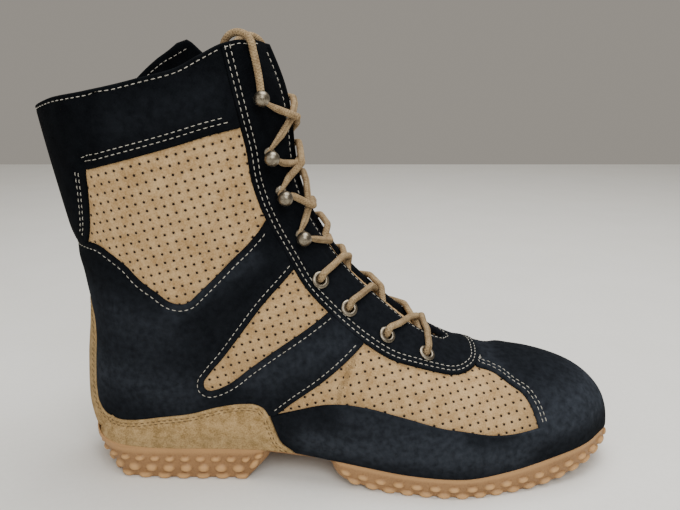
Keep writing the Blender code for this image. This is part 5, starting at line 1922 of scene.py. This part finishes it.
        ends = np.concatenate(fans)
        faces = [*wall.tolist(), *floor.tolist(), *ends.tolist(), *top.tolist(), *caps]
        return np.concatenate([rings.reshape(-1, 3), tread.reshape(-1, 3)]), faces


class Lamp(NamedTuple):
    """A square soft light: its place and side in metres, and its watts."""

    name: str
    place: tuple[float, float, float]
    size: float
    power: float


@dataclass(frozen=True)
class Studio:
    """Pale floor, soft light and the camera at the photograph's angle."""

    camera: tuple[float, float, float] = (143.0, -359.0, 213.0)
    pitch_degrees: float = 15.2
    lens_mm: float = 36.0
    sensor_mm: float = 36.0
    near_m: float = 0.01
    floor_m: float = 2.5
    sky: str = "c9c2b8"
    sky_strength: float = 0.55
    aim: tuple[float, float, float] = (0.0, 0.0, 0.1)
    lamps: tuple[Lamp, ...] = (
        Lamp("key", (0.25, -0.9, 0.85), 0.7, 8.5), Lamp("fill", (-0.7, -0.7, 0.5), 0.9, 2.5),
        Lamp("top", (0.2, 0.1, 1.2), 0.9, 17.0))

    def build(self) -> None:
        """Makes the floor, the surroundings, the lights and the camera."""
        scene = bpy.context.scene
        half = self.floor_m / 2
        mesh = bpy.data.meshes.new("floor")
        corners = [(-half, -half, 0), (half, -half, 0), (half, half, 0), (-half, half, 0)]
        mesh.from_pydata(corners, [], [(0, 1, 2, 3)])
        mesh.materials.append(Finishes.BOARD.value.material())
        floor = bpy.data.objects.new("floor", mesh)
        scene.collection.objects.link(floor)
        world = bpy.data.worlds.new("studio")
        world.use_nodes = True
        sky = {"Color": linear(self.sky), "Strength": self.sky_strength}
        set_inputs(world.node_tree, world.node_tree.nodes["Background"], sky)
        scene.world = world
        for lamp in self.lamps:
            data = bpy.data.lights.new(lamp.name, "AREA")
            data.size, data.energy = lamp.size, lamp.power
            light = bpy.data.objects.new(lamp.name, data)
            light.location = lamp.place
            light.rotation_euler = (Vector(self.aim) - light.location).to_track_quat("-Z", "Y").to_euler()
            scene.collection.objects.link(light)
        camera = bpy.data.objects.new("camera", bpy.data.cameras.new("camera"))
        camera.data.lens, camera.data.sensor_width = self.lens_mm, self.sensor_mm
        camera.data.clip_start = self.near_m
        camera.location = (np.array(self.camera) - CENTRE) * MM
        camera.rotation_euler = (math.radians(90 - self.pitch_degrees), 0.0, 0.0)
        scene.collection.objects.link(camera)
        scene.camera = camera


def leather_panels() -> tuple[Panel, ...]:
    """All panels; neighbours share their seam lines, and straight runs pass outside the form."""
    rear, hem, counter = (2.2, 4.8), (3.4, 5.9), (2.3, 3.8)
    toe_top, collar = (224, 90), ((160, 260), (84, 260))
    cap = (Run(COUNTER_FRONT), Run(GUARD_TOP), Run(CAP_SEAM, (2.9, 4.9)),
           Run(((218, 61.5), (221, 90), (320, 90), (320, 0), (121, 0)), smooth=False))
    quarter = (Run(QUARTER_TOP, (2.5,)), Run(EYESTAY_MIDDLE), Run(STRAP_EDGE, (2.2,)), Run(COUNTER_TOP))
    heel = (Run(COUNTER_FRONT, counter), Run(COUNTER_TOP, counter), Run(((-20, 0), (121, 0)), smooth=False))
    stay = (Run((*EYESTAY_TOP, *EYESTAY_MIDDLE[1:], *EYESTAY_FRONT[1:]), rear),
            Run((toe_top, *collar), smooth=False))
    cuff = (Run(BACKSTAY_LOW, (3.0, 5.0)), Run(CUFF_HEM, hem), Run(((95, 187), *EYESTAY_TOP[1::-1])),
            Run(((84, 260), (-20, 260), (-20, 128.5)), smooth=False))
    navy = ("navy_suede", Finishes.NAVY)
    return (
        Panel("toe_cap_leather", ("toe_cap",), *navy, Outline(cap)),
        Panel("quarter_leather", ("quarter",), *navy, Outline(quarter), Outline((Run(WINDOW_EDGE, (2.5,)),)),
              seam_gap=-0.6),
        Panel("counter_leather", ("heel_counter",), "counter_suede", Finishes.COUNTER, Outline(heel),
              thread=Finishes.BROWN, top=2.0),
        Panel("cuff_leather", ("cuff_lateral", "cuff_medial", "backstay"), *navy, Outline(cuff), top=1.7,
              seam_gap=-0.6, borders=True),
        Panel("eyestay_leather", ("eyestay",), *navy, Outline(stay), top=1.9, lap=0.9,
              borders=True, punched=True),
    )


def main() -> None:
    """Builds the boot on its frame and the studio round it."""
    logging.basicConfig(level=logging.INFO, format="%(name)s: %(message)s")
    Studio().build()
    last = Last()
    Lace().build(last)
    lines = Lines(last.rim_line(), last.throat_line(), seats_at(last, EYELET_POINTS, 0.0))
    base = last.sheet()
    seams: dict[Finishes, list[Seam]] = {Finishes.CREAM: [], Finishes.BROWN: []}
    for panel in leather_panels():
        seams[panel.thread] += panel.build(base, lines)
    Upper().build(last, lines)
    seams[Finishes.CREAM] += Tongue().build(last)
    for thread, rows in seams.items():
        Stitching().build(f"{thread.name.lower()}_stitches", rows, thread)
    Eyelets().build(last)
    LaceStuds().build(last)
    Sole().build(last)
    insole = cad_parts["insole"]
    insole.data.materials.clear()
    insole.data.materials.append(Finishes.LINING.value.material())


if __name__ == "__main__":
    main()
